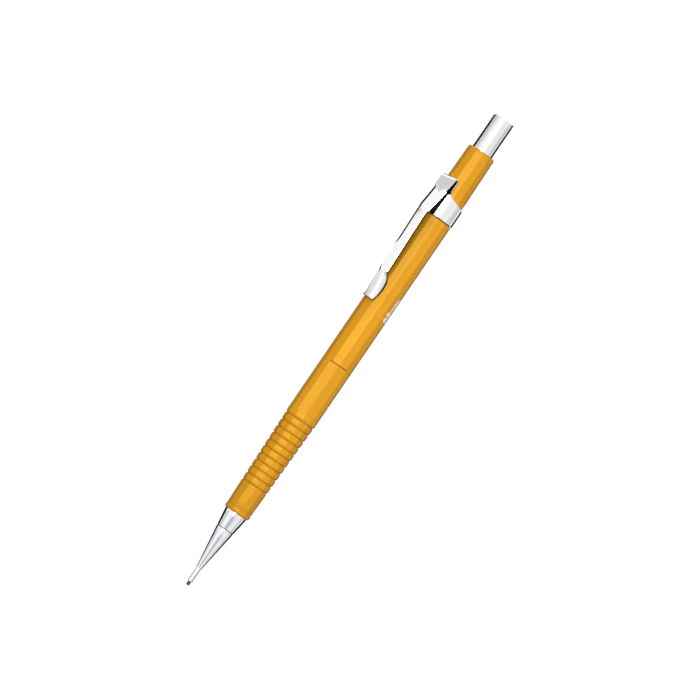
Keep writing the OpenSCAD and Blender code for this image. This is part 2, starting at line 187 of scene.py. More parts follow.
class Skin:
    """Points, faces and marks of one mesh that is being drawn."""

    def __init__(self, name: str) -> None:
        """Start an empty mesh.

        Args:
            name: The mesh's name.
        """
        self.name = name
        self.points: list[Point] = []
        self.faces: list[list[int]] = []
        self.marks: dict[str, dict[int, float]] = {}

    def row(
        self, points: Sequence[Sequence[float]], marks: dict[str, Sequence[float]] | None = None
    ) -> list[int]:
        """Add a row of points.

        Args:
            points: The row's points in order.
            marks: Values of named attributes, one for each point.

        Returns:
            The points' numbers.
        """
        first = len(self.points)
        self.points.extend((p[0], p[1], p[2]) for p in points)
        for name, values in (marks or {}).items():
            self.marks.setdefault(name, {}).update({first + i: v for i, v in enumerate(values)})
        return list(range(first, len(self.points)))

    def bridge(self, one: Sequence[int], two: Sequence[int], closed: bool = True) -> None:
        """Join two rows with faces, where a row of one point is a pole.

        Args:
            one: Numbers of the first row's points.
            two: Numbers of the second row's points.
            closed: Whether the rows run full circle.
        """
        count = max(len(one), len(two))
        for j in range(count if closed else count - 1):
            k = (j + 1) % count
            if len(one) == len(two) == 1:
                continue
            if len(one) == 1:
                self.faces.append([one[0], two[k], two[j]])
            elif len(two) == 1:
                self.faces.append([one[j], one[k], two[0]])
            else:
                self.faces.append([one[j], one[k], two[k], two[j]])

    def mesh(self, solid: bool = True) -> bpy.types.Mesh:
        """Make the mesh.

        Args:
            solid: Whether the mesh is closed, so that its faces are turned outwards.

        Returns:
            The mesh, in millimetres.
        """
        made = bpy.data.meshes.new(self.name)
        made.from_pydata(self.points, [], self.faces)
        for name, values in self.marks.items():
            column = [values.get(i, 0.0) for i in range(len(self.points))]
            made.attributes.new(name, "FLOAT", "POINT").data.foreach_set("value", column)
        if solid:
            work = bmesh.new()
            work.from_mesh(made)
            bmesh.ops.recalc_face_normals(work, faces=work.faces)
            bmesh.ops.triangulate(work, faces=[f for f in work.faces if len(f.verts) > 4])
            work.to_mesh(made)
            work.free()
        return made


def turned(
    name: str, outline: Outline, sides: int = 96, marks: dict[str, Rule] | None = None
) -> bpy.types.Mesh:
    """Turn a closed outline about the axis.

    Args:
        name: Name of the mesh.
        outline: Places along the axis and distances from it, in order round the outline.
        sides: Number of points round the axis.
        marks: Names of attributes and the functions of place and distance that give their values.

    Returns:
        The closed mesh, in millimetres.
    """
    skin = Skin(name)
    rows = []
    for x, r in outline:
        turns = [FULL_TURN * k / sides for k in range(sides)] if r > 1e-6 else [0.0]
        values = {key: [rule(x, r)] * len(turns) for key, rule in (marks or {}).items()}
        rows.append(skin.row([(x, r * math.cos(t), r * math.sin(t)) for t in turns], values))
    for one, two in zip(rows, rows[1:] + rows[:1]):
        skin.bridge(one, two)
    return skin.mesh()


def dense(outline: Outline, start: float, end: float, step: float) -> Outline:
    """Add points to the straight runs of an outline between two places along the axis.

    Args:
        outline: The outline's points.
        start: Where the dense run starts.
        end: Where it ends.
        step: Longest distance between points along the axis there.

    Returns:
        The outline with its added points.
    """
    made: Outline = []
    for (x, r), (next_x, next_r) in zip(outline, outline[1:] + outline[:1]):
        inside = min(x, next_x) >= start and max(x, next_x) <= end
        count = max(1, math.ceil(abs(next_x - x) / step)) if inside else 1
        made.extend((mix(x, next_x, i / count), mix(r, next_r, i / count)) for i in range(count))
    return made


def applied(mesh: bpy.types.Mesh, add: Callable[[bpy.types.Object], None]) -> bpy.types.Mesh:
    """Run modifiers on a mesh.

    Args:
        mesh: The mesh before its modifiers.
        add: Adds the modifiers to the object that it is given.

    Returns:
        A plain mesh with the modifiers' result.
    """
    name = mesh.name
    mesh.name = "before_modifiers"
    holder = bpy.data.objects.new("holder", mesh)
    bpy.context.scene.collection.objects.link(holder)
    add(holder)
    graph = bpy.context.evaluated_depsgraph_get()
    made = bpy.data.meshes.new_from_object(
        holder.evaluated_get(graph), preserve_all_data_layers=True, depsgraph=graph
    )
    bpy.data.objects.remove(holder)
    made.name = name
    return made


class Wire:
    """One node socket that stands in Python arithmetic on values."""

    def __init__(self, nodes: "Nodes", socket: bpy.types.NodeSocket) -> None:
        """Keep the socket and the tree that it belongs to."""
        self.nodes = nodes
        self.socket = socket

    def __add__(self, other: Any) -> "Wire":
        """Return self + other."""
        return self.nodes.math("ADD", self, other)

    def __radd__(self, other: Any) -> "Wire":
        """Return other + self."""
        return self.nodes.math("ADD", other, self)

    def __sub__(self, other: Any) -> "Wire":
        """Return self - other."""
        return self.nodes.math("SUBTRACT", self, other)

    def __rsub__(self, other: Any) -> "Wire":
        """Return other - self."""
        return self.nodes.math("SUBTRACT", other, self)

    def __mul__(self, other: Any) -> "Wire":
        """Return self * other."""
        return self.nodes.math("MULTIPLY", self, other)

    def __rmul__(self, other: Any) -> "Wire":
        """Return other * self."""
        return self.nodes.math("MULTIPLY", other, self)

    def __truediv__(self, other: Any) -> "Wire":
        """Return self / other."""
        return self.nodes.math("DIVIDE", self, other)

    def __rtruediv__(self, other: Any) -> "Wire":
        """Return other / self."""
        return self.nodes.math("DIVIDE", other, self)


class Nodes:
    """Makes and links the nodes of one tree."""

    def __init__(self, tree: bpy.types.NodeTree) -> None:
        """Keep the tree."""
        self.tree = tree

    def make(
        self, kind: str, settings: dict[str, Any] | None = None, sockets: dict[str | int, Any] | None = None
    ) -> bpy.types.Node:
        """Make one node.

        Args:
            kind: The node's type.
            settings: Its settings, which are set first; stops are a ramp's places and colours.
            sockets: Values or wires of its inputs.

        Returns:
            The node.
        """
        node = self.tree.nodes.new(kind)
        for key, value in (settings or {}).items():
            if key != "stops":
                setattr(node, key, value)
                continue
            while len(node.color_ramp.elements) < len(value):
                node.color_ramp.elements.new(0.5)
            for element, (place, colour) in zip(node.color_ramp.elements, value):
                element.position = place
                element.color = colour
        for key, value in (sockets or {}).items():
            if isinstance(value, Wire):
                self.tree.links.new(value.socket, node.inputs[key])
            else:
                node.inputs[key].default_value = value
        return node

    def wire(
        self,
        kind: str,
        settings: dict[str, Any] | None = None,
        sockets: dict[str | int, Any] | None = None,
        output: str | int = 0,
    ) -> Wire:
        """Make one node and return one of its outputs.

        Args:
            kind: The node's type.
            settings: Its settings.
            sockets: Values or wires of its inputs.
            output: Name or number of the output.

        Returns:
            The output's wire.
        """
        return Wire(self, self.make(kind, settings, sockets).outputs[output])

    def math(self, operation: str, one: Any, two: Any = 0.0) -> Wire:
        """Return a sum on two values or wires."""
        return self.wire("ShaderNodeMath", {"operation": operation}, {0: one, 1: two})

    def blend(self, share: Wire, one: Any, two: Any) -> Wire:
        """Return a colour between two, by a share."""
        return self.wire("ShaderNodeMix", {"data_type": "RGBA"}, {0: share, 6: one, 7: two}, 2)

    def clipped(self, value: Wire, low: float, high: float) -> Wire:
        """Return 0 below low, 1 above high and a soft ramp between."""
        settings = {"interpolation_type": "SMOOTHSTEP"}
        return self.wire("ShaderNodeMapRange", settings, {0: value, 1: low, 2: high, 3: 0.0, 4: 1.0})

    def grain(self, along: float, across: float, detail: float = 2.0) -> Wire:
        """Make noise in the piece's own coordinates.

        Args:
            along: Size of a grain along the axis, in millimetres.
            across: Size of a grain across the axis, in millimetres.
            detail: How much finer noise is laid over it.

        Returns:
            The noise, from 0 to 1.
        """
        place = self.wire("ShaderNodeTexCoord", output="Object")
        scale = (1 / along / MM, 1 / across / MM, 1 / across / MM)
        spread = self.wire("ShaderNodeMapping", None, {"Vector": place, "Scale": scale})
        return self.wire("ShaderNodeTexNoise", None, {"Vector": spread, "Scale": 1.0, "Detail": detail})

    def mark(self, name: str) -> Wire:
        """Return the piece's own attribute of that name."""
        return self.wire("ShaderNodeAttribute", {"attribute_name": name}, output="Fac")

    def bump(self, height: Wire, depth: float) -> Wire:
        """Return a normal that is bent by a height, whose full depth is in millimetres."""
        return self.wire("ShaderNodeBump", None, {"Height": height, "Distance": depth * MM})


@dataclass(frozen=True)
class Finish:
    """What all finishes share: a name, a screen colour and a gloss."""

    name: str
    colour: tuple[int, int, int]
    roughness: float

    def constants(self) -> dict[str, Any]:
        """Return the shader's values that are the same all over the piece."""
        return {}

    def dress(self, nodes: Nodes) -> dict[str, Any]:
        """Return the shader's values and wires that change over the piece."""
        return {"Base Color": linear(*self.colour), "Roughness": self.roughness}

    def material(self) -> bpy.types.Material:
        """Make the finish's material, once.

        Returns:
            The material that all pieces of this finish share.
        """
        name = f"{self.name}_finish"
        found = bpy.data.materials.get(name)
        if found:
            return found
        made = bpy.data.materials.new(name)
        made.use_nodes = True
        made.node_tree.nodes.clear()
        nodes = Nodes(made.node_tree)
        sockets = {**self.constants(), **self.dress(nodes)}
        surface = nodes.wire("ShaderNodeBsdfPrincipled", None, sockets)
        nodes.make("ShaderNodeOutputMaterial", None, {"Surface": surface})
        return made


@dataclass(frozen=True)
class MouldedPlastic(Finish):
    """Moulded plastic with a faint flow, fine peel, hairline scuffs, rubbed corners and painted shade.

    A grain is a noise's size along the axis and across it, in millimetres, and its detail.
    """

    flow: float = 0.05
    flow_grain: Grain = (16, 7, 3)
    scuff: float = 0.16
    scuff_grain: Grain = (5, 0.11, 2)
    scuff_rise: float = 0.6
    peel: float = 0.0025
    peel_grain: Grain = (0.32, 0.32, 2)
    rub: float = 0.3
    rub_grain: Grain = (3, 1.2, 3)
    rub_tint: tuple[float, float, float] = (1.12, 1.2, 1.9)
    gloss_change: float = 0.06
    # Painted shade: how dark the marked places become, and how much duller.
    painted_shade_level: float = 0.04
    painted_shade_dullness: float = 0.3

    def constants(self) -> dict[str, Any]:
        """Return the plastic's gloss."""
        return {"Specular IOR Level": 0.45, "Specular Tint": (1.0, 0.68, 0.2, 1.0)}

    def dress(self, nodes: Nodes) -> dict[str, Any]:
        """Lay the flow pattern, the scuffs, the peel, the rubbed corners and the painted shade.

        Args:
            nodes: The material's nodes.

        Returns:
            Values and wires of the shader's inputs.
        """
        base = linear(*self.colour)
        cloud = nodes.grain(*self.flow_grain)
        body = nodes.blend(cloud, shaded(base, 1 - self.flow), shaded(base, 1 + self.flow))
        worn = nodes.mark("rubbed")
        patchy = worn * nodes.clipped(nodes.grain(*self.rub_grain), 0.35, 0.7) * self.rub
        red, green, blue = (min(1.0, level * tint) for level, tint in zip(base, self.rub_tint))
        scuffs = nodes.clipped(nodes.grain(*self.scuff_grain), 0.56, 0.74)
        dull = self.roughness + self.scuff * scuffs + self.gloss_change * (cloud - 0.5)
        peel = nodes.grain(*self.peel_grain) + scuffs * self.scuff_rise
        # Painted shade, from the piece's marks, darkens the colour and dulls the gloss.
        grime = nodes.mark("grime")
        unshaded = nodes.blend(patchy, body, (red, green, blue, 1.0))
        return {
            "Base Color": nodes.blend(grime, unshaded, shaded(base, self.painted_shade_level)),
            "Roughness": dull - self.gloss_change * worn + self.painted_shade_dullness * grime,
            "Normal": nodes.bump(peel, self.peel),
        }


@dataclass(frozen=True)
class Metal(Finish):
    """Metal with handling smudges, fine rings from turning or brushing, and painted shade and painted dark
    reflections.
    """

    smudge: float = 0.1
    smudge_grain: Grain = (5, 3, 4)
    ring: float = 0.05
    ring_length: float = 30
    ring_dullness: float = 0.25
    depth: float = 0.0006
    dark: float = 0.86
    # Painted shade and painted dark reflections: how dark the marked places become, and how much duller.
    shade_and_reflection_level: float = 0.05
    shade_and_reflection_dullness: float = 0.3

    def constants(self) -> dict[str, Any]:
        """Return the value that makes it metal."""
        return {"Metallic": 1.0}

    def dress(self, nodes: Nodes) -> dict[str, Any]:
        """Lay the smudges, the rings, and the painted shade and painted dark reflections.

        Args:
            nodes: The material's nodes.

        Returns:
            Values and wires of the shader's inputs.
        """
        base = linear(*self.colour)
        rings = nodes.grain(self.ring, self.ring_length, 3)
        touch = nodes.clipped(nodes.grain(*self.smudge_grain), 0.45, 0.75)
        # Painted shade and painted dark reflections, from the piece's marks, darken the colour and dull the
        # gloss.
        soil = nodes.mark("soil")
        tone = nodes.blend(rings * 0.5 + touch * 0.5, base, shaded(base, self.dark))
        dull = self.roughness + self.smudge * touch + self.ring_dullness * self.roughness * (rings - 0.5)
        return {
            "Base Color": nodes.blend(soil, tone, shaded(base, self.shade_and_reflection_level)),
            "Roughness": dull + self.shade_and_reflection_dullness * soil,
            "Normal": nodes.bump(rings, self.depth),
        }


@dataclass(frozen=True)
class SoftStock(Finish):
    """Rubber, graphite or plain inner plastic, with a speckled face and long drawn streaks."""

    speck: float = 0.12
    size: float = 0.2
    streak: float = 0.1
    streak_grain: Grain = (9, 0.25, 2)
    depth: float = 0.004

    def dress(self, nodes: Nodes) -> dict[str, Any]:
        """Lay the specks, the streaks and the grain.

        Args:
            nodes: The material's nodes.

        Returns:
            Values and wires of the shader's inputs.
        """
        base = linear(*self.colour)
        specks = nodes.grain(self.size, self.size, 3)
        streaks = nodes.grain(*self.streak_grain)
        share = specks * 0.6 + streaks * 0.4
        return {
            "Base Color": nodes.blend(share, shaded(base, 1 - self.speck), shaded(base, 1 + self.speck)),
            "Roughness": self.roughness + self.streak * (streaks - 0.5),
            "Normal": nodes.bump(specks, self.depth),
        }


AMBER = MouldedPlastic("amber_plastic", (233, 163, 34), 0.4)
CLIP_CHROME = Metal("clip_chrome", (250, 250, 252), 0.04, smudge=0.04, ring=0.4, depth=0.0003, dark=0.94)
CONE_CHROME = Metal("cone_chrome", (250, 251, 255), 0.05, smudge=0.05, ring=0.06, depth=0.0008, dark=0.92)
CAP_SATIN = Metal("cap_satin", (246, 244, 241), 0.14, smudge=0.04, ring=0.05, depth=0.001, dark=0.94)
SLEEVE_STEEL = Metal("sleeve_steel", (244, 243, 237), 0.14, ring=0.06, depth=0.0008, dark=0.92)
SPRING_STEEL = Metal("spring_steel", (176, 177, 180), 0.28, ring=0.3)
BRASS = Metal("chuck_brass", (222, 184, 112), 0.24, ring=0.07, depth=0.001, dark=0.8)
RING_BRASS = Metal("ring_brass", (206, 160, 96), 0.3, ring=0.07, depth=0.001, dark=0.8)
FERRULE_METAL = Metal("ferrule_metal", (214, 215, 218), 0.2, ring=0.08, depth=0.001)
INNER_PLASTIC = SoftStock("inner_plastic", (222, 222, 216), 0.42, speck=0.03, size=0.6)
RESERVOIR_PLASTIC = SoftStock("reservoir_plastic", (228, 229, 226), 0.38, speck=0.03, size=0.8)
RETAINER_RUBBER = SoftStock("retainer_rubber", (58, 58, 60), 0.72, speck=0.2, size=0.12)
GRAPHITE = SoftStock("graphite", (62, 62, 66), 0.42, speck=0.35, size=0.07, streak=0.2, depth=0.006)
ERASER_RUBBER = SoftStock("eraser_rubber", (238, 237, 232), 0.8, speck=0.05, size=0.3, depth=0.01)
PRINT_INK = SoftStock("print_ink", (254, 253, 248), 0.5, speck=0.04, size=0.15, depth=0.002)


class GeometryTree:
    """A Geometry Nodes tree with named inputs, run on one mesh at a time."""

    name = "geometry"
    inputs: dict[str, str] = {}

    def __init__(self) -> None:
        """Make the tree, its inputs and its nodes."""
        self.tree = bpy.data.node_groups.new(self.name, "GeometryNodeTree")
        face = self.tree.interface
        face.new_socket(name="Geometry", in_out="INPUT", socket_type="NodeSocketGeometry")
        face.new_socket(name="Geometry", in_out="OUTPUT", socket_type="NodeSocketGeometry")
        self.keys = {}
        for name, kind in {**self.inputs, "Material": "NodeSocketMaterial"}.items():
            self.keys[name] = face.new_socket(name=name, in_out="INPUT", socket_type=kind).identifier
        self.nodes = Nodes(self.tree)
        group = self.nodes.make("NodeGroupInput")
        self.given = {name: Wire(self.nodes, group.outputs[name]) for name in ("Geometry", *self.keys)}
        real = self.nodes.wire("GeometryNodeRealizeInstances", None, {"Geometry": self.shape()})
        sockets = {"Geometry": real, "Material": self.given["Material"]}
        dressed = self.nodes.wire("GeometryNodeSetMaterial", None, sockets)
        self.nodes.make("NodeGroupOutput", None, {"Geometry": dressed})

    def shape(self) -> Wire:
        """Make the nodes that shape the geometry and return their result."""
        return self.given["Geometry"]

    def run(self, mesh: bpy.types.Mesh, finish: Finish, sizes: dict[str, Any]) -> bpy.types.Mesh:
        """Run the tree on a mesh.

        Args:
            mesh: The mesh that goes in.
            finish: The finish of the result.
            sizes: Values of the named inputs.

        Returns:
            A plain mesh with the result.
        """

        def add(holder: bpy.types.Object) -> None:
            """Add the tree as a modifier and set its inputs.

            Args:
                holder: The object that holds the mesh.
            """
            modifier = holder.modifiers.new(self.name, "NODES")
            modifier.node_group = self.tree
            for name, value in {**sizes, "Material": finish.material()}.items():
                modifier[self.keys[name]] = value

        return applied(mesh, add)


class WaveCutter(GeometryTree):
    """Cuts a row of round grooves, or one thread, into the marked part of a turned or many-sided skin."""

    name = "wave_cutter"
    inputs = {
        "First": "NodeSocketFloat",
        "Pitch": "NodeSocketFloat",
        "Count": "NodeSocketFloat",
        "Width": "NodeSocketFloat",
        "Depth": "NodeSocketFloat",
        "Helix": "NodeSocketFloat",
        "Mark": "NodeSocketString",
    }

    def shape(self) -> Wire:
        """Move each marked point towards the axis by the depth of the nearest groove there.

        Returns:
            The cut geometry.
        """
        nodes, given = self.nodes, self.given
        place = nodes.make("ShaderNodeSeparateXYZ", None, {0: nodes.wire("GeometryNodeInputPosition")})
        x, y, z = (Wire(nodes, socket) for socket in place.outputs)
        spin = nodes.math("ARCTAN2", z, y) / FULL_TURN
        turn = (x - given["First"]) / given["Pitch"] + given["Helix"] * spin
        nearest = nodes.math("MAXIMUM", nodes.math("ROUND", turn), 0.0)
        nearest = nodes.math("MINIMUM", nearest, given["Count"] - 1.0)
        off = nodes.math("ABSOLUTE", turn - nearest) * given["Pitch"] * 2.0 / given["Width"]
        wave = nodes.math("COSINE", nodes.math("MINIMUM", off, 1.0) * math.pi) * 0.5 + 0.5
        sockets = {"Name": given["Mark"]}
        radius = nodes.wire("GeometryNodeInputNamedAttribute", {"data_type": "FLOAT"}, sockets)
        keep = 1.0 - given["Depth"] * wave / nodes.math("MAXIMUM", radius, 0.001)
        moved = nodes.wire("ShaderNodeCombineXYZ", None, {0: x, 1: y * keep, 2: z * keep})
        sockets = {
            "Geometry": given["Geometry"],
            "Selection": nodes.math("GREATER_THAN", radius, 0.001),
            "Position": moved,
        }
        return nodes.wire("GeometryNodeSetPosition", None, sockets)


class SpringWinder(GeometryTree):
    """Winds a compression spring whose end turns lie close together."""

    name = "spring_winder"
    inputs = {
        "Start": "NodeSocketFloat",
        "Length": "NodeSocketFloat",
        "Radius": "NodeSocketFloat",
        "Wire": "NodeSocketFloat",
        "Turns": "NodeSocketFloat",
        "Closed": "NodeSocketFloat",
    }

    def shape(self) -> Wire:
        """Lay a round wire along the coil.

        Returns:
            The wound wire.
        """
        nodes, given = self.nodes, self.given
        sockets = {
            "Resolution": 40,
            "Rotations": given["Turns"],
            "Start Radius": given["Radius"],
            "End Radius": given["Radius"],
            "Height": 0.0,
        }
        coil = nodes.wire("GeometryNodeCurveSpiral", None, sockets)
        share = nodes.wire("GeometryNodeSplineParameter", output="Factor")
        shut = given["Closed"] / given["Turns"]
        tight = given["Wire"] * 1.04 * given["Turns"]
        open_run = given["Length"] - given["Wire"] - tight
        along = nodes.math("MINIMUM", nodes.math("MAXIMUM", (share - shut) / (1.0 - 2.0 * shut), 0.0), 1.0)
        x = given["Start"] + given["Wire"] * 0.5 + tight * share + open_run * along
        place = nodes.make("ShaderNodeSeparateXYZ", None, {0: nodes.wire("GeometryNodeInputPosition")})
        sockets = {0: x, 1: Wire(nodes, place.outputs[0]), 2: Wire(nodes, place.outputs[1])}
        moved = nodes.wire("ShaderNodeCombineXYZ", None, sockets)
        path = nodes.wire("GeometryNodeSetPosition", None, {"Geometry": coil, "Position": moved})
        round_wire = nodes.wire(
            "GeometryNodeCurvePrimitiveCircle", None, {"Resolution": 12, "Radius": given["Wire"] * 0.5}
        )
        sockets = {"Curve": path, "Profile Curve": round_wire, "Fill Caps": True}
        return nodes.wire("GeometryNodeCurveToMesh", None, sockets)


@dataclass(frozen=True)
class Bench:
    """Where the pencil lies in the frame, in metres, and the angle in degrees past which edges stay sharp."""

    front: float
    height: float
    sharp: float = 32.0

    @classmethod
    def from_frame(cls) -> "Bench":
        """Read the barrel's front face and its axis from the frame."""
        low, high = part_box("barrel")
        return cls(low.x, (low.z + high.z) / 2)

    def point(self, x: float, y: float, z: float) -> Vector:
        """Return the frame's point for a place in the pencil's own millimetres."""
        return Vector((self.front + x * MM, y * MM, self.height + z * MM))

    def settle(self, mesh: bpy.types.Mesh, finish: Finish) -> bpy.types.Object:
        """Bring a mesh into the frame as a dressed object.

        Args:
            mesh: The mesh in the pencil's own millimetres.
            finish: Its finish.

        Returns:
            The object, at the origin.
        """
        mesh.transform(Matrix.Translation(self.point(0, 0, 0)) @ Matrix.Scale(MM, 4))
        mesh.shade_smooth()
        mesh.set_sharp_from_angle(angle=math.radians(self.sharp))
        mesh.materials.clear()
        mesh.materials.append(finish.material())
        piece = bpy.data.objects.new(mesh.name, mesh)
        bpy.context.scene.collection.objects.link(piece)
        return piece

    def place(
        self, mesh: bpy.types.Mesh, finish: Finish, body: Body | str, slot: Slot | None, *nodes: str
    ) -> bpy.types.Object:
        """Settle a mesh, let it ride on a body and let it stand for CAD nodes.

        Args:
            mesh: The mesh in the pencil's own millimetres.
            finish: Its finish.
            body: The body that it rides on.
            slot: Not used.
            nodes: The CAD nodes that it stands for.

        Returns:
            The placed piece.
        """
        piece = self.settle(mesh, finish)
        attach(piece, body.value if isinstance(body, Body) else body)
        if nodes:
            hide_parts(*nodes)
        log.info("%s: %d faces on %s", piece.name, len(mesh.polygons), body)
        return piece


@dataclass
class Barrel:
    """One amber moulding with twelve sides: lip, collar, ribbed grip, recessed panel, neck and rear."""

    bench: Bench
    waves: WaveCutter
    sides: int = 12
    round: float = 1.0
    body_r: float = 4.32
    lip_r: float = 3.66
    collar_r: float = 3.58
    grip_at: float = 8.36
    pitch: float = 2.03
    grooves: int = 11
    groove_w: float = 0.74
    groove_depth: float = 0.3
    grip_front_r: float = 3.78
    grip_rear_r: float = 4.25
    body_at: float = 29.19
    panel_at: float = 30.59
    panel_len: float = 15.3
    panel_depth: float = 0.28
    panel_turns: tuple[float, ...] = (120.0, 150.0)
    shoulder: float = 90.9
    seam_w: float = 0.34
    neck_r: float = 4.06
    neck_end: float = 96.2
    rear_r: float = 3.9
    rear_swell: float = 0.07
    end: float = 111.6
    end_round: float = 0.45
    thread_r: float = 2.8
    thread_end: float = 8.2
    thread_rings: int = 90
    bore_r: float = 2.55
    cap_bore_r: float = 3.02
    cap_bore_at: float = 102.5
    size_words: str = "0.9 mm"
    print_at: float = 61.25
    print_h: float = 2.5
    print_turn: float = 194.5
    print_squeeze: float = 0.85
    ink: float = 0.016
    ink_sunk: float = 0.004
    # Painted shade on the barrel: in the grooves, at the panel's walls, in the seam by the band and towards
    # both ends.
    groove_painted_shade: float = 0.34
    front_painted_shade: float = 0.12
    grip_painted_shade: float = 0.07
    # The panel's floor is painted a little darker.
    panel_darkening: float = 0.05
    panel_rear_wall_shade: float = 0.65
    panel_front_wall_shade: float = 0.16
    seam_painted_shade: float = 0.95
    rear_painted_shade: float = 0.06
    # Painted shadow of the clip's arm on the side under it, and fainter painted shade beside the arm and the
    # band.
    under_clip_painted_shadow: float = 0.46
    beside_clip_painted_shade: float = 0.14
    beside_band_painted_shade: float = 0.12

    @property
    def panel_end(self) -> float:
        """Return where the panel ends."""
        return self.panel_at + self.panel_len

    def section(self, corner_r: float) -> list[tuple[float, float, float]]:
        """Draw one section of the outside.

        Args:
            corner_r: Radius to the sharp corners.

        Returns:
            The section's points across and up, with how rubbed each one is.
        """
        half = math.pi / self.sides
        flat = corner_r * math.cos(half)
        reach = (flat - self.round) * math.tan(half)
        body_flat = self.body_r * math.cos(half)
        crossing = (body_flat * (2 - math.sqrt(3)) - 2 * self.panel_depth) * corner_r / self.body_r / reach
        edge = 0.06
        steps = 6
        made = []
        for k in range(self.sides):
            turn = 2 * half * k
            stops = [-1.0, -0.5, 0.0, 0.5, 1.0]
            if k == self.sides // 4:
                stops[3:4] = [crossing - edge, crossing, crossing + edge]
            if k == self.sides // 2:
                stops[1:2] = [-crossing - edge, -crossing, -crossing + edge]
            for stop in stops:
                y = flat * math.cos(turn) - stop * reach * math.sin(turn)
                z = flat * math.sin(turn) + stop * reach * math.cos(turn)
                made.append((y, z, 0.6 if abs(stop) == 1 else 0.0))
            centre = (flat - self.round) / math.cos(half)
            for j in range(1, steps):
                bend = turn + 2 * half * j / steps
                y = centre * math.cos(turn + half) + self.round * math.cos(bend)
                z = centre * math.sin(turn + half) + self.round * math.sin(bend)
                made.append((y, z, 1.0))
        return made

    def grip_r(self, x: float) -> float:
        """Return the corner radius of the tapering grip at a place."""
        share = (x - self.grip_at) / self.pitch / (self.grooves - 1)
        return mix(self.grip_front_r, self.grip_rear_r, share)

    def front_rings(self) -> list[Ring]:
        """Draw the lip and the plain collar.

        Returns:
            Place, corner radius, share of the panel's cut and rub of each ring.
        """
        lip = (
            (0.0, 0.42, 0.2), (0.05, 0.30, 0.5), (0.14, 0.17, 0.8), (0.26, 0.07, 1.0), (0.4, 0.02, 1.0),
            (0.6, 0.0, 0.6), (0.9, 0.0, 0.5), (1.1, 0.01, 0.6), (1.22, 0.04, 0.4),
        )
        made = [(x, self.lip_r - drop, 0, rub) for x, drop, rub in lip]
        for x, rise in ((1.3, -0.1), (1.38, -0.12), (1.48, -0.06), (1.6, 0.005)):
            made.append((x, self.collar_r + rise, 0, 0))
        start, start_r = made[-1][:2]
        first = self.grip_at - self.groove_w / 2
        for share in (0.25, 0.5, 0.75, 0.95):
            made.append((mix(start, first, share), mix(start_r, self.grip_front_r, share), 0, 0))
        return made

    def grip_rings(self) -> list[Ring]:
        """Draw the ribs, and the places of the grooves, which are cut later.

        Returns:
            Place, corner radius, share of the panel's cut and rub of each ring.
        """
        steps, rib_rise = 6, 0.012
        made = []
        for k in range(self.grooves):
            middle = self.grip_at + k * self.pitch
            for step in range(-steps, steps + 1):
                x = middle + self.groove_w / 2 * step / steps
                made.append((x, self.grip_r(x), 0, 0.5 if abs(step) >= steps - 1 else 0.0))
            if k == self.grooves - 1:
                break
            for share in (0.3, 0.5, 0.7):
                x = mix(middle + self.groove_w / 2, middle + self.pitch - self.groove_w / 2, share)
                made.append((x, self.grip_r(x) + rib_rise, 0, 0.6))
        return made

    def body_rings(self) -> list[Ring]:
        """Draw the plain body with its recessed panel.

        Returns:
            Place, corner radius, share of the panel's cut and rub of each ring.
        """
        top, near, far = self.body_r, self.panel_at, self.panel_end
        made = [
            (self.body_at - 0.06, top - 0.04, 0, 0.6), (self.body_at, top - 0.008, 0, 0.8),
            (self.body_at + 0.2, top, 0, 0.2),
        ]
        panel = (
            (near - 0.25, 0, 0), (near, 0, 0.5), (near + 0.02, 0.12, 0.4), (near + 0.05, 1, 0),
            (near + 0.2, 1, 0), (near + 0.4, 1, 0), (mix(near, far, 0.5), 1, 0), (far - 0.47, 1, 0),
            (far - 0.2, 1, 0), (far - 0.05, 1, 0), (far - 0.02, 0.12, 0.4), (far, 0, 0.5), (far + 0.25, 0, 0),
        )
        made += [(x, top, cut, rub) for x, cut, rub in panel]
        shares = [k / 10 for k in range(1, 10)] + [0.97]
        return made + [(mix(far, self.shoulder, share), top, 0, 0) for share in shares]

    def rear_rings(self) -> list[Ring]:
        """Draw the shoulder, the neck under the clip's band and the rear.

        Returns:
            Place, corner radius, share of the panel's cut and rub of each ring.
        """
        made = []
        for x, drop, rub in ((-0.12, 0, 0.4), (-0.04, 0.012, 0.8), (0, 0.06, 0.6)):
            made.append((self.shoulder + x, self.body_r - drop, 0, rub))
        for x, drop in ((0.01, 0.3), (0.2, 0.3), (self.seam_w, 0), (0.6, 0)):
            made.append((self.shoulder + x, self.neck_r - drop, 0, 0))
        made.append((self.neck_end, self.neck_r, 0, 0))
        swell_at, swell_end = 97.6, 98.6
        round_at = self.end - self.end_round
        for x in (97.7, 98.0, 98.3, swell_end, 102.0, 106.0, 110.0, round_at - 0.3):
            swell = self.rear_swell * ease(ramp(x, swell_at, swell_end))
            share = ramp(x, self.neck_end, round_at)
            made.append((x, mix(self.neck_r + swell, self.rear_r, share), 0, 0))
        steps = 5
        for step in range(steps + 1):
            turn = math.pi / 2 * step / steps
            x = self.end - self.end_round * (1 - math.sin(turn))
            made.append((x, self.rear_r - self.end_round * (1 - math.cos(turn)), 0, 0.9))
        return made

    def bore(self) -> Outline:
        """Draw the inside, from the rear face to the front face.

        Returns:
            Its places along the axis and its radii.
        """
        lead_in, step = 0.12, 0.25
        made = [
            (self.end, self.cap_bore_r + lead_in), (self.end - lead_in, self.cap_bore_r),
            (self.cap_bore_at, self.cap_bore_r), (self.cap_bore_at - step, self.bore_r), (70.0, self.bore_r),
            (40.0, self.bore_r), (self.thread_end + 0.02, self.bore_r), (self.thread_end, self.thread_r),
        ]
        for i in range(self.thread_rings + 1):
            made.append((mix(self.thread_end - 0.1, 0.3, i / self.thread_rings), self.thread_r))
        return made + [(0.0, self.thread_r + 0.2)]

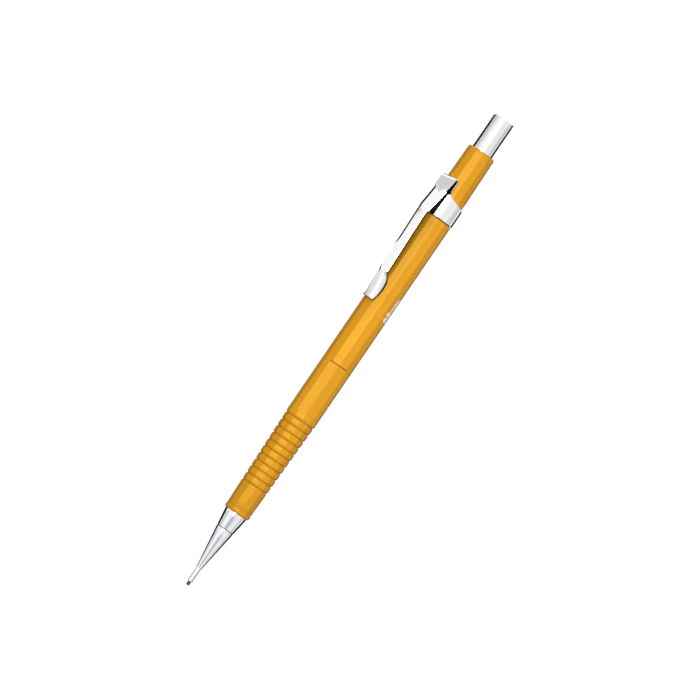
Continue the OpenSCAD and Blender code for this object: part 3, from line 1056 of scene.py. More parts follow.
    def milled(self, y: float, z: float) -> Vector:
        """Cut both flats of the panel.

        Args:
            y: Where a point of the plain body lies across.
            z: Where it lies up.

        Returns:
            Where the point lies after the cut.
        """
        here = Vector((y, z))
        limit = self.body_r * math.cos(math.pi / self.sides) - self.panel_depth
        for turn in self.panel_turns * 6:
            normal = Vector((math.cos(math.radians(turn)), math.sin(math.radians(turn))))
            here -= normal * max(0.0, here.dot(normal) - limit)
        return here

    def painted_shade_along(self, x: float) -> float:
        """Paint shade into the grooves, at the panel's walls, in the seam by the clip's band and towards both
        ends.

        Args:
            x: The place along the axis.

        Returns:
            The share of painted shade, from 0 to 1.
        """
        turn = (x - self.grip_at) / self.pitch
        nearest = min(max(round(turn), 0), self.grooves - 1)
        # Painted shade in the bottoms of the grip's grooves.
        groove = self.groove_painted_shade * (1 - ramp(abs(turn - nearest) * self.pitch, 0.06, 0.3))
        # Painted shade at the panel's walls, dark at the rear wall and faint at the front wall.
        rear_wall = self.panel_rear_wall_shade * (1 - ramp(abs(x - self.panel_end + 0.15), 0.05, 0.3))
        front_wall = self.panel_front_wall_shade * (1 - ramp(abs(x - self.panel_at - 0.2), 0.1, 0.25))
        # Painted shade, nearly black, in the gap between the shoulder and the clip's band.
        seam = self.seam_painted_shade if 0.005 < x - self.shoulder < self.seam_w + 0.005 else 0.0
        # Painted shade where less light falls: the front and the grip are darker, the rear a little.
        front_falloff_shade = mix(self.front_painted_shade, self.grip_painted_shade, ramp(x, 7.0, 9.0))
        front_falloff_shade *= 1 - ramp(x, self.body_at - 0.5, self.body_at)
        rear_falloff_shade = self.rear_painted_shade * ramp(x, self.neck_end, self.neck_end + 1)
        return max(groove, rear_wall, front_wall, seam, front_falloff_shade, rear_falloff_shade)

    def painted_clip_shadow(self, x: float, y: float, z: float) -> float:
        """Paint the clip arm's shadow on the body, most on the side under it and less beside it.

        Args:
            x: The place along the axis.
            y: The place across.
            z: The place up.

        Returns:
            The share of painted shadow, from 0 to 1.
        """
        if z < 0:
            return 0.0
        half = self.body_r * math.sin(math.pi / self.sides)
        next_half = self.body_r * math.sin(3 * math.pi / self.sides)
        under = self.under_clip_painted_shadow * ramp(x, 68, 74) * (1 - ramp(abs(y), half + 0.1, half + 0.26))
        beside = self.beside_clip_painted_shade * ramp(x, 57, 66) + self.beside_band_painted_shade * ramp(x, 82, 89)
        return max(under, beside * (1 - ramp(abs(y), half + 0.7, next_half + 0.8)))

    def outside(self, skin: Skin) -> list[list[int]]:
        """Draw the barrel's outside.

        Args:
            skin: The mesh that it is drawn in.

        Returns:
            The rows of its points.
        """
        rows = []
        grip_start, grip_end = self.grip_at - self.groove_w, self.body_at - 0.1
        rings = self.front_rings() + self.grip_rings() + self.body_rings() + self.rear_rings()
        for x, corner_r, cut, rub in rings:
            points, rubbed, painted_shades = [], [], []
            for y, z, worn in self.section(corner_r):
                here = Vector((y, z))
                over = self.milled(y, z) - here
                here += over * cut
                in_panel = over.length * cut > 1e-6
                points.append((x, here.x, here.y))
                rubbed.append(rub if in_panel else max(worn, rub))
                # Painted shade: the clip arm's shadow on the plain body, elsewhere the shade in grooves,
                # walls, seam and ends, and the darker panel floor.
                plain = self.body_at <= x <= self.shoulder and not in_panel
                shade_here = max(self.painted_shade_along(x), self.panel_darkening * in_panel)
                painted_shades.append(self.painted_clip_shadow(x, y, z) if plain else shade_here)
            gripped = corner_r if grip_start < x < grip_end else 0.0
            marks = {"rubbed": rubbed, "grip": [gripped] * len(points), "grime": painted_shades}
            rows.append(skin.row(points, marks))
        return rows

    def mesh(self) -> bpy.types.Mesh:
        """Draw the barrel and cut its grip and its thread.

        Returns:
            The closed mesh, in millimetres.
        """
        skin = Skin("amber_barrel")
        rows = self.outside(skin)
        spread = [math.atan2(z, y) for y, z, _ in self.section(self.body_r)]
        for x, r in self.bore():
            threaded = r if abs(r - self.thread_r) < 0.001 and x < self.thread_end - 0.05 else 0.0
            points = [(x, r * math.cos(t), r * math.sin(t)) for t in spread]
            rows.append(skin.row(points, {"bore_thread": [threaded] * len(points)}))
        for one, two in zip(rows, rows[1:] + rows[:1]):
            skin.bridge(one, two)
        grip = {
            "First": self.grip_at, "Pitch": self.pitch, "Count": float(self.grooves), "Width": self.groove_w,
            "Depth": self.groove_depth, "Helix": 0.0, "Mark": "grip",
        }
        thread = {
            "First": 1.0, "Pitch": 0.8, "Count": 8.0, "Width": 0.6, "Depth": -0.12, "Helix": 1.0,
            "Mark": "bore_thread",
        }
        return self.waves.run(self.waves.run(skin.mesh(), AMBER, grip), AMBER, thread)

    def surface(self, turn: float) -> float:
        """Measure the plain body.

        Args:
            turn: The turn about the axis, in radians.

        Returns:
            The body's distance from the axis there.
        """
        half = math.pi / self.sides
        flat = self.body_r * math.cos(half)
        off = abs((turn + half) % (2 * half) - half)
        if math.tan(off) * flat < (flat - self.round) * math.tan(half):
            return flat / math.cos(off)
        centre = (flat - self.round) / math.cos(half)
        chord = self.round**2 - (centre * math.sin(half - off)) ** 2
        return centre * math.cos(half - off) + math.sqrt(chord)

    def words(self) -> bpy.types.Mesh:
        """Set the printed lead size.

        Returns:
            The flat letters.
        """
        text = bpy.data.curves.new("size_print", "FONT")
        text.body = self.size_words
        text.size = 3.0
        text.space_character = 0.94
        text.space_word = 0.5
        text.offset = 0.18
        return applied(text, lambda holder: None)

    def print_mesh(self) -> bpy.types.Mesh:
        """Wrap the printed lead size over the barrel's sides.

        Returns:
            The closed mesh, in millimetres.
        """
        flat = self.words()
        low = min(v.co.y for v in flat.vertices)
        left = min(v.co.x for v in flat.vertices)
        scale = self.print_h / (max(v.co.y for v in flat.vertices) - low)
        wide = scale * self.print_squeeze
        shift = (self.print_at - left * wide, -low * scale - self.print_h / 2, 0)
        work = bmesh.new()
        work.from_mesh(flat)
        bmesh.ops.remove_doubles(work, verts=work.verts, dist=1e-5)
        bmesh.ops.scale(work, vec=(wide, scale, 1), verts=work.verts)
        bmesh.ops.translate(work, vec=shift, verts=work.verts)
        for step in range(-7, 8):
            everything = work.verts[:] + work.edges[:] + work.faces[:]
            middle = (0, FULL_TURN / 80 * step * self.body_r, 0)
            bmesh.ops.bisect_plane(work, geom=everything, plane_co=middle, plane_no=(0, 1, 0))
        for vert in work.verts:
            turn = math.radians(self.print_turn) - vert.co.y / self.body_r
            r = self.surface(turn) - self.ink_sunk
            vert.co = (vert.co.x, r * math.cos(turn), r * math.sin(turn))
        work.to_mesh(flat)
        work.free()

        def thicken(holder: bpy.types.Object) -> None:
            """Give the ink its thickness.

            Args:
                holder: The object that holds the letters.
            """
            solid = holder.modifiers.new("ink", "SOLIDIFY")
            solid.thickness = self.ink
            solid.offset = 1.0

        return applied(flat, thicken)

    def build(self) -> None:
        """Place the barrel and its print."""
        self.bench.place(self.mesh(), AMBER, Body.BARREL, Slot.AMBER, "barrel")
        self.bench.place(self.print_mesh(), PRINT_INK, Body.BARREL, None)


@dataclass
class Clip:
    """One folded strip: a C-shaped band, a return strip, a fold, a crowned arm and a cupped foot.

    A place on the arm is its distance from the fold and its share across, from -1 at one edge to 1.
    """

    bench: Bench
    thickness: float = 0.38
    edge_round: float = 0.07
    band_r: float = 4.066
    band_front: float = 91.17
    band_rear: float = 97.25
    band_tip: float = 95.65
    band_corner: float = 0.9
    fillet: float = 0.3
    taper_turn: float = 127.0
    open_turn: float = 150.0
    fold_x: float = 101.21
    fold_h: float = 4.91
    fold_r: float = 0.84
    fold_w: float = 4.7
    fold_skew: float = 0.098
    length: float = 36.71
    flare: float = 9.2
    flare_w: float = 3.85
    crest: float = 10.81
    crest_w: float = 3.0
    neck: float = 29.01
    neck_w: float = 2.8
    foot: float = 33.01
    foot_w: float = 3.6
    facet_h: float = 4.17278
    crest_h: float = 3.55
    neck_h: float = 2.6
    foot_end_h: float = 1.75
    flat_end: float = 3.7
    flat_rise: float = 0.43
    foot_rim: float = 0.945
    columns: int = 26
    bend_from: float = -0.048
    bend_to: float = 0.28
    bend_lean: float = -0.038

    def spread(self) -> list[float]:
        """Return the strip's columns, from -1 to 1, closer together near its edges."""
        return [math.sin(math.pi / 2 * (2 * j / self.columns - 1)) for j in range(self.columns + 1)]

    def crown(self, s: float) -> float:
        """Follow the arm's crown: level at the fold, up to the crest and down to the foot.

        Args:
            s: The distance from the fold.

        Returns:
            The crown's height above the axis.
        """
        fold_top, crest_top = self.fold_h + self.fold_r, self.facet_h + self.crest_h
        if s < self.flat_end:
            return fold_top + self.flat_rise * s / self.flat_end
        if s >= self.neck:
            return self.facet_h + mix(self.neck_h, self.foot_end_h, ramp(s, self.neck, self.length))
        rise = ((s - self.flat_end) / (self.crest - self.flat_end)) ** 1.15
        fall = ramp(s, self.crest, self.neck) ** 1.2
        up = mix(fold_top + self.flat_rise, crest_top, rise)
        down = self.facet_h + mix(self.crest_h, self.neck_h, fall)
        soft = 0.05
        return min(up, down) - soft * math.log1p(math.exp(-abs(up - down) / soft))

    def half_width(self, s: float) -> float:
        """Follow the arm's edges.

        Args:
            s: The distance from the fold.

        Returns:
            Half of the arm's width.
        """
        if s < self.flare:
            return mix(self.fold_w, self.flare_w, s / self.flare) / 2
        if s < self.crest:
            return mix(self.flare_w, self.crest_w, ease(ramp(s, self.flare, self.crest))) / 2
        if s < self.neck:
            return mix(self.crest_w, self.neck_w, ramp(s, self.crest, self.neck)) / 2
        return mix(self.neck_w, self.foot_w, ease(ramp(s, self.neck, self.foot))) / 2

    def skew(self, y: float) -> float:
        """Return how far the fold's end is pulled in at a place across it."""
        return self.fold_skew * (y + self.fold_w / 2)

    def fall(self, s: float, v: float) -> float:
        """Follow the arm's rolled edges and the cup of its foot.

        Args:
            s: The distance from the fold.
            v: The share across.

        Returns:
            How far the arm's face lies below its crown.
        """
        cupped = ease(ramp(s, self.neck - 0.1, self.neck + 2.3))
        cupped *= 1 - ramp(s, self.foot + 0.2, self.length) ** 2.2
        full = self.crown(s) - self.facet_h + 0.07
        beyond = ramp(s, 14, 27)
        power = mix(2.6, 2.2, beyond)
        start = 2.7 + 1.0 * (1 - abs(v)) ** 0.8
        plain = mix(0.42, 0.38, beyond) * ease(ramp(s, start, start + 1.1))
        cup_power = 4.6
        if v > 0:
            cup_power = 7.0
            rolled, ended = 1 - ease(ramp(s, 18.5, 22.5)), ease(ramp(s, 27, 30))
            power = mix(mix(1.4, power, ended), 2.0, rolled)
            plain *= mix(mix(0.7, 1.0, ended), 1.2, rolled)
        return mix(plain, full, cupped) * abs(v) ** mix(power, cup_power, cupped)

    def arm_row(self, s: float) -> list[Point]:
        """Draw one row of the arm's upper face.

        Args:
            s: The row's distance from the fold.

        Returns:
            The row's points.
        """
        crown, half = self.crown(s), self.half_width(s)
        made = []
        for v in self.spread():
            x = self.fold_x - s - self.skew(half * v) * (1 - ramp(s, 0, self.flat_end))
            made.append((x, half * v, crown - self.fall(s, v)))
        return made

    def arm_steps(self) -> list[float]:
        """Space the arm's rows, closer where it bends.

        Returns:
            Their distances from the fold.
        """
        made = [0.5, 1.0, 1.5, 2.0, 2.4] + [2.6 + 0.2 * i for i in range(18)]
        made += [6.4 + 0.4 * i for i in range(6)] + [8.7 + 0.2 * i for i in range(15)]
        made += [mix(12, self.neck - 0.8, i / 20) for i in range(21)]
        return made + [mix(self.neck - 0.4, self.length, i / 26) for i in range(27)]

    def band_row(self, share: float, turns: Sequence[float]) -> list[Point]:
        """Draw one row of the band, from one open end to the other.

        Args:
            share: The row's share of the way from the band's front edge to its rear edge.
            turns: The turns of its points from the clip's middle, in radians.

        Returns:
            The row's points.
        """
        edge = math.asin(self.fold_w / 2 / self.band_r)
        taper_end, limit = math.radians(self.taper_turn), math.radians(self.open_turn)
        corner = self.band_corner
        made = []
        for t in turns:
            into = max(0.0, corner - (limit - abs(t)) * self.band_r)
            cut = corner - math.sqrt(corner * corner - into * into)
            fillet = self.fillet * (1 - ramp(abs(t), edge, edge + 0.12)) ** 2
            rear = mix(self.band_rear, self.band_tip, ramp(abs(t), edge, taper_end)) + fillet - cut
            x = mix(self.band_front + cut, rear, share)
            made.append((x, self.band_r * math.sin(t), self.band_r * math.cos(t)))
        return made

    def fold_rows(self) -> list[list[Point]]:
        """Draw the return strip and the fold.

        Returns:
            The points of each row.
        """
        half = self.fold_w / 2
        joint = self.band_rear + self.fillet
        steps, bends = 10, 14
        made = []
        for i in range(1, steps + 1):
            x = mix(joint, self.fold_x, i / steps)
            flat = ease(min(1.0, (x - joint) / 1.1))
            pull = ramp(x, joint, self.fold_x)
            row = []
            for v in self.spread():
                z = mix(math.sqrt(self.band_r**2 - (half * v) ** 2), self.band_r, flat)
                row.append((x - pull * self.skew(half * v), half * v, z))
            made.append(row)
        for i in range(1, bends + 1):
            turn = math.radians(-90 + 180 * i / bends)
            x = self.fold_x + self.fold_r * math.cos(turn)
            z = self.fold_h + self.fold_r * math.sin(turn)
            made.append([(x - self.skew(half * v), half * v, z) for v in self.spread()])
        return made

    def sheet(self) -> bpy.types.Mesh:
        """Draw the strip's outer face, from the band's front edge to the foot's end.

        Returns:
            One open sheet.
        """
        skin = Skin("folded_clip")
        inner = [math.asin(self.fold_w / 2 * v / self.band_r) for v in self.spread()]
        side, steps = 22, 10
        limit = math.radians(self.open_turn)
        outer = [mix(inner[-1], limit, 1 - (1 - i / side) ** 1.4) for i in range(1, side + 1)]
        turns = [-t for t in reversed(outer)] + inner + outer
        rows = [skin.row(self.band_row(i / steps, turns)) for i in range(steps + 1)]
        for one, two in zip(rows, rows[1:]):
            skin.bridge(one, two, False)
        last = rows[-1][len(outer) : len(outer) + len(inner)]
        for points in self.fold_rows() + [self.arm_row(s) for s in self.arm_steps()]:
            row = skin.row(points)
            skin.bridge(last, row, False)
            last = row
        return skin.mesh(False)

    def mesh(self) -> bpy.types.Mesh:
        """Give the strip its thickness, its broken edges, and its painted shade and painted dark reflections.

        Returns:
            The closed mesh, in millimetres.
        """

        def thicken(holder: bpy.types.Object) -> None:
            """Give the sheet its thickness and soften its cut edges.

            Args:
                holder: The object that holds the sheet.
            """
            solid = holder.modifiers.new("thickness", "SOLIDIFY")
            solid.thickness = self.thickness
            solid.offset = -1.0
            solid.use_even_offset = True
            solid.material_offset = 1
            solid.material_offset_rim = 2
            soft = holder.modifiers.new("edges", "BEVEL")
            soft.width = self.edge_round
            soft.segments = 2
            soft.material = 2
            soft.limit_method = "ANGLE"
            soft.angle_limit = math.radians(50)

        sheet = self.sheet()
        for _ in range(3):
            sheet.materials.append(CLIP_CHROME.material())
        made = applied(sheet, thicken)
        # Painted shade and painted dark reflections, face by face.
        soil = [self.soil(face.center, face.material_index) for face in made.polygons]
        made.attributes.new("soil", "FLOAT", "FACE").data.foreach_set("value", soil)
        made.polygons.foreach_set("material_index", [0] * len(soil))
        return made

    def soil(self, place: Vector, layer: int) -> float:
        """Return how much painted shade and painted dark reflection a face gets.

        Args:
            place: The face's middle.
            layer: 0 for the strip's outer side, 1 for its inner side and 2 for its cut edge.

        Returns:
            The share of dark, from 0 to 1.
        """
        outer_r = self.band_r + self.thickness
        s = self.fold_x - place.x
        on_band = math.hypot(place.y, place.z) < outer_r + 0.1
        if on_band and self.fold_x - self.band_rear < s < self.neck:
            return 0.0
        # Beyond the flare: painted shade on the inner side, and painted shadow and dark reflections on the
        # cut edge and along the arm's and foot's edges.
        if s > self.flare:
            rim = s > self.neck - 0.2 and abs(place.y) > self.foot_rim * self.half_width(s)
            return 1.0 if layer or rim else 0.0
        # Near the fold: painted shade on the inner side where it lies high.
        return 1.0 if layer == 1 and place.z > outer_r - 0.2 else 0.0

    def build(self) -> None:
        """Place the clip and hide the CAD band and arm."""
        piece = self.bench.settle(self.mesh(), CLIP_CHROME)
        across = Vector((self.bend_lean, 0, 1)) * MM
        pivot = self.bench.point(self.fold_x, 0, self.fold_h)
        start, end = pivot + across * self.bend_from, pivot + across * self.bend_to
        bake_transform(piece)
        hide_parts("clip_band", "clip_arm")
        log.info("%s: %d faces", piece.name, len(piece.data.polygons))


@dataclass
class Tip:
    """The turned cone with its threaded spigot, the lead sleeve, the rubber retainer and the lead."""

    bench: Bench
    waves: WaveCutter
    nose: float = -17.0
    nose_r: float = 0.725
    base_r: float = 3.13
    line_at: float = -5.0
    line_w: float = 0.26
    line_depth: float = 0.14
    spigot_r: float = 2.75
    spigot_end: float = 7.0
    chamber_front: float = -1.0
    chamber_r: float = 2.25
    throat_front: float = -5.0
    throat_r: float = 2.0
    pocket_front: float = -7.5
    pocket_r: float = 1.11
    feed_r: float = 0.55
    socket_r: float = 0.635
    sleeve_front: float = -21.0
    sleeve_rear: float = -10.0
    sleeve_r: float = 0.625
    hole_r: float = 0.475
    retainer_rear: float = -5.3
    retainer_r: float = 1.1
    retainer_mouth_r: float = 0.62
    lead_r: float = 0.45
    lead_tip: float = -22.2
    lead_len: float = 60.0

    def cone_r(self, x: float) -> float:
        """Return the cone's radius at a place along the axis."""
        return mix(self.base_r, self.nose_r, x / self.nose)

    def cone(self) -> bpy.types.Mesh:
        """Turn the cone and cut its thread.

        Returns:
            The closed mesh, in millimetres.
        """
        before, after = self.line_at - self.line_w / 2, self.line_at + self.line_w / 2
        slope, middle = 0.03, -11.0
        corners = [
            (self.nose, self.socket_r, 0), (self.nose, self.nose_r, 0.05), (middle, self.cone_r(middle), 0),
            (before, self.cone_r(before), 0.02),
            (before + slope, self.cone_r(before) - self.line_depth, 0.02),
            (after - slope, self.cone_r(after) - self.line_depth, 0.02),
            (after, self.cone_r(after), 0.02),
            (-0.02, self.base_r, 0.1), (0.0, self.spigot_r, 0.04), (self.spigot_end, self.spigot_r, 0.22),
            (self.spigot_end, self.chamber_r, 0.08), (self.chamber_front, self.chamber_r, 0),
            (self.chamber_front, self.throat_r, 0.05), (self.throat_front, self.throat_r, 0.1),
            (self.throat_front, self.pocket_r, 0.05), (self.pocket_front, self.pocket_r, 0),
            (self.pocket_front, self.feed_r, 0.03), (self.sleeve_rear, self.feed_r, 0),
            (self.sleeve_rear, self.socket_r, 0),
        ]
        outline = dense(rounded(corners), 0.05, self.spigot_end - 0.1, 0.08)

        def threaded(x: float, r: float) -> float:
            """Mark the spigot's outside."""
            return r if abs(r - self.spigot_r) < 0.001 and 0.3 < x < self.spigot_end - 0.25 else 0.0

        def cut(x: float, r: float) -> float:
            """Mark the bottom of the turned line with painted shade."""
            return 0.7 if before < x < after and self.throat_r + 0.1 < r < self.cone_r(x) - 0.04 else 0.0

        made = turned("tip_cone_turned", outline, 120, {"spigot_thread": threaded, "soil": cut})
        sizes = {
            "First": 1.2, "Pitch": 0.8, "Count": 7.0, "Width": 0.66, "Depth": 0.15, "Helix": 1.0,
            "Mark": "spigot_thread",
        }
        return self.waves.run(made, CONE_CHROME, sizes)

    def sleeve(self) -> bpy.types.Mesh:
        """Turn the thin pipe that guides the lead.

        Returns:
            The closed mesh, in millimetres.
        """
        corners = [
            (self.sleeve_front, self.hole_r, 0.03), (self.sleeve_front, self.sleeve_r, 0.06),
            (self.sleeve_rear, self.sleeve_r, 0.03), (self.sleeve_rear, self.hole_r, 0.03),
        ]
        return turned("sleeve_pipe", rounded(corners), 64)

    def retainer(self) -> bpy.types.Mesh:
        """Turn the rubber ring, with a groove round its middle and a narrow hole.

        Returns:
            The closed mesh, in millimetres.
        """
        front, rear = self.pocket_front, self.retainer_rear
        middle, groove_half, groove_r, mouth = (front + rear) / 2, 0.15, 1.03, 0.45
        corners = [
            (front, self.retainer_mouth_r, 0.06), (front, self.retainer_r, 0.1),
            (middle - groove_half, self.retainer_r, 0.05), (middle, groove_r, 0.05),
            (middle + groove_half, self.retainer_r, 0.05), (rear, self.retainer_r, 0.1),
            (rear, self.retainer_mouth_r, 0.06), (rear - mouth, self.hole_r, 0.1),
            (front + mouth, self.hole_r, 0.1),
        ]
        return turned("retainer_ring", rounded(corners), 64)

    def lead(self) -> bpy.types.Mesh:
        """Turn the writing lead, whose point is worn to a slant.

        Returns:
            The closed mesh, in millimetres.
        """
        r, tip = self.lead_r, self.lead_tip
        slant, slant_len = 0.16, 0.35
        corners = [
            (tip, 0, 0), (tip, 0.24, 0.05), (tip + 0.12, r - 0.04, 0.06), (tip + 0.3, r, 0.1),
            (self.sleeve_rear, r, 0), (tip + self.lead_len, r, 0.03), (tip + self.lead_len, 0, 0),
        ]
        made = turned("lead_in_use", rounded(corners), 40)
        for vert in made.vertices:
            worn = 1 - ramp(vert.co.x, tip, tip + slant_len)
            vert.co.x += slant * worn * (0.5 + vert.co.y / (2 * r))
        return made

    def build(self) -> None:
        """Place the cone, the sleeve, the retainer and the lead."""
        place = self.bench.place
        place(self.cone(), CONE_CHROME, Body.TIP, Slot.CONE, "tip_cone")
        place(self.sleeve(), SLEEVE_STEEL, Body.TIP, Slot.SLEEVE, "lead_sleeve")
        place(self.retainer(), RETAINER_RUBBER, Body.TIP, Slot.RUBBER, "lead_retainer")
        place(self.lead(), GRAPHITE, Body.LEAD, Slot.GRAPHITE, "writing_lead")


@dataclass
class Chuck:
    """The clutch that grips the lead: three jaws, their stem, the ring, its sleeve and the connector."""

    bench: Bench
    head_r: float = 1.68
    head_slope: float = 0.22
    finger_r: float = 1.1
    feed_r: float = 0.55
    grip_r: float = 0.475
    front: float = -1.9
    cone_at: float = -0.55
    cone_end: float = 1.235
    root: float = 5.95
    slit: float = 0.26
    jaws: int = 3
    teeth: int = 6
    tooth_half: float = 0.1
    tooth_depth: float = 0.035
    stem_front: float = 6.0
    stem_rear: float = 25.0
    stop_at: float = 19.5
    stop_w: float = 0.4
    stop_r: float = 1.06
    ring_front: float = -0.07
    ring_rear: float = 2.9
    ring_r: float = 2.2
    ring_bore_r: float = 1.35
    ring_mouth_r: float = 1.584
    ring_mouth_end: float = 0.62
    seat_front: float = 2.95
    seat_rear: float = 8.2
    flange_front: float = 7.0
    flange_r: float = 2.75
    plug_front: float = 20.2
    plug_rear: float = 28.0
    plug_bore_r: float = 1.11
    plug_r: float = 1.95
    plug_flange_r: float = 2.45
    plug_flange_rear: float = 21.2
    funnel_r: float = 1.65
    funnel_end: float = 25.3

    def jaw(self, number: int) -> bpy.types.Mesh:
        """Draw one jaw, a third of a split head with its finger.

        Args:
            number: The jaw's number, from 1.

        Returns:
            The closed mesh, in millimetres.
        """
        corners = [
            (self.front, self.grip_r, 0.05), (self.front, self.head_r - self.head_slope, 0.04),
            (self.front + self.head_slope, self.head_r, 0.06), (self.cone_at, self.head_r, 0.08),
            (self.cone_end, self.finger_r, 0.3), (self.root, self.finger_r, 0.03),
            (self.root, self.feed_r, 0.03), (self.cone_end + 0.1, self.feed_r, 0.03),
            (self.cone_end, self.grip_r, 0.03),
        ]
        for k in range(self.teeth):
            x = mix(self.cone_end - 0.3, self.front + 0.3, k / (self.teeth - 1))
            corners += [
                (x + self.tooth_half, self.grip_r, 0), (x, self.grip_r + self.tooth_depth, 0),
                (x - self.tooth_half, self.grip_r, 0),
            ]
        skin = Skin(f"brass_jaw_{number}")
        middle = FULL_TURN * number / self.jaws
        half_steps = 8
        rows = []
        for x, r in rounded(corners):
            half = math.pi / self.jaws - math.asin(self.slit / 2 / r)
            turns = [middle + half * (j / half_steps - 1) for j in range(2 * half_steps + 1)]
            rows.append(skin.row([(x, r * math.cos(t), r * math.sin(t)) for t in turns]))
        for one, two in zip(rows, rows[1:] + rows[:1]):
            skin.bridge(one, two, False)
        skin.faces.append([row[0] for row in rows])
        skin.faces.append([row[-1] for row in reversed(rows)])
        return skin.mesh()

    def stem(self) -> bpy.types.Mesh:
        """Turn the tube behind the jaws, with a groove where the connector stops.

        Returns:
            The closed mesh, in millimetres.
        """
        start, end, slope = self.stop_at, self.stop_at + self.stop_w, 0.05
        corners = [
            (self.stem_front, self.feed_r, 0.03), (self.stem_front, self.finger_r, 0.05),
            (start, self.finger_r, 0.02), (start + slope, self.stop_r, 0.02),
            (end - slope, self.stop_r, 0.02), (end, self.finger_r, 0.02),
            (self.stem_rear, self.finger_r, 0.08), (self.stem_rear, self.feed_r, 0.03),
        ]
        return turned("brass_stem", rounded(corners), 72)

    def ring(self) -> bpy.types.Mesh:
        """Turn the ring that closes the jaws with its tapered mouth.

        Returns:
            The closed mesh, in millimetres.
        """
        corners = [
            (self.ring_front, self.ring_mouth_r, 0.04), (self.ring_front, self.ring_r, 0.12),
            (self.ring_rear, self.ring_r, 0.12), (self.ring_rear, self.ring_bore_r, 0.06),
            (self.ring_mouth_end, self.ring_bore_r, 0.1),
        ]
        return turned("closing_ring", rounded(corners))

    def seat(self) -> bpy.types.Mesh:
        """Turn the sleeve that seats the ring and the front of the spring.

        Returns:
            The closed mesh, in millimetres.
        """
        corners = [
            (self.seat_front, self.ring_bore_r, 0.05), (self.seat_front, self.ring_r, 0.1),
            (self.flange_front, self.ring_r, 0.05), (self.flange_front, self.flange_r, 0.08),
            (self.seat_rear, self.flange_r, 0.12), (self.seat_rear, self.ring_bore_r, 0.1),
        ]
        return turned("spring_seat", rounded(corners))

    def plug(self) -> bpy.types.Mesh:
        """Turn the connector with the funnel that leads the spare leads in.

        Returns:
            The closed mesh, in millimetres.
        """
        corners = [
            (self.plug_front, self.plug_bore_r, 0.05), (self.plug_front, self.plug_flange_r, 0.1),
            (self.plug_flange_rear, self.plug_flange_r, 0.06), (self.plug_flange_rear, self.plug_r, 0.03),
            (self.plug_rear, self.plug_r, 0.08), (self.plug_rear, self.funnel_r, 0.04),
            (self.funnel_end, self.feed_r, 0.05), (self.stem_rear, self.feed_r, 0.0),
            (self.stem_rear, self.plug_bore_r, 0.0),
        ]
        return turned("reservoir_plug", rounded(corners))

    def build(self) -> None:
        """Place the jaws, the stem, the ring, its sleeve and the connector."""
        place = self.bench.place
        for number in range(1, self.jaws + 1):
            place(self.jaw(number), BRASS, f"jaw_{number}", Slot.BRASS, f"chuck_jaw_{number}")
        place(self.stem(), BRASS, Body.PLUNGER, Slot.BRASS, "chuck_stem")
        place(self.ring(), RING_BRASS, Body.RING, Slot.BRASS, "clutch_ring")
        place(self.seat(), INNER_PLASTIC, Body.BARREL, Slot.INNER, "clutch_sleeve")
        place(self.plug(), INNER_PLASTIC, Body.PLUNGER, Slot.INNER, "chuck_connector")


@dataclass
class Spring:
    """The return spring between the seat and the plug."""

    bench: Bench
    winder: SpringWinder
    start: float = 8.2
    length: float = 12.0
    radius: float = 1.92
    wire: float = 0.36
    turns: float = 11.0
    closed: float = 1.0
    travel: float = 2.4

    def build(self) -> None:
        """Wind the spring and place it."""
        sizes = {
            "Start": self.start, "Length": self.length, "Radius": self.radius, "Wire": self.wire,
            "Turns": self.turns, "Closed": self.closed,
        }
        mesh = self.winder.run(bpy.data.meshes.new("wound_spring"), SPRING_STEEL, sizes)
        piece = self.bench.place(mesh, SPRING_STEEL, Body.BARREL, Slot.SPRING, "return_spring")
        anchor = self.bench.point(self.start, 0, 0)
        keep = 1 - self.travel / self.length
        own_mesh(piece)


@dataclass
class Reservoir:
    """The long tube that carries the spare leads."""

    bench: Bench
    front: float = 21.2
    rear: float = 112.6
    outer_r: float = 2.45
    inner_r: float = 1.96
    lead_r: float = 0.45
    lead_len: float = 60.0
    lead_at: float = 28.025
    fit: float = 0.05

    def tube(self) -> bpy.types.Mesh:
        """Turn the tube.

        Returns:
            The closed mesh, in millimetres.
        """
        corners = [
            (self.front, self.inner_r, 0.06), (self.front, self.outer_r, 0.1),
            (self.rear, self.outer_r, 0.12), (self.rear, self.inner_r, 0.1),
        ]
        return turned("reservoir_tube", rounded(corners))

    def stick(self, number: int) -> bpy.types.Mesh:
        """Lay one of two spare leads on the tube's floor.

        Args:
            number: The lead's number, from 1.

        Returns:
            The closed mesh, in millimetres.
        """
        start, end = self.lead_at, self.lead_at + self.lead_len
        corners = [(start, 0, 0), (start, self.lead_r, 0.04), (end, self.lead_r, 0.04), (end, 0, 0)]
        made = turned(f"spare_stick_{number}", rounded(corners), 32)
        offset = self.inner_r - self.lead_r - self.fit
        spacing = 2 * math.asin((self.lead_r + self.fit) / offset)
        turn = spacing * (number - 1.5) - math.pi / 2
        made.transform(Matrix.Translation((0, offset * math.cos(turn), offset * math.sin(turn))))
        return made

    def build(self) -> None:
        """Place the tube and the spare leads."""
        place = self.bench.place
        place(self.tube(), RESERVOIR_PLASTIC, Body.PLUNGER, Slot.RESERVOIR, "lead_reservoir")
        for number in (1, 2):
            place(self.stick(number), GRAPHITE, Body.PLUNGER, Slot.GRAPHITE, f"spare_lead_{number}")


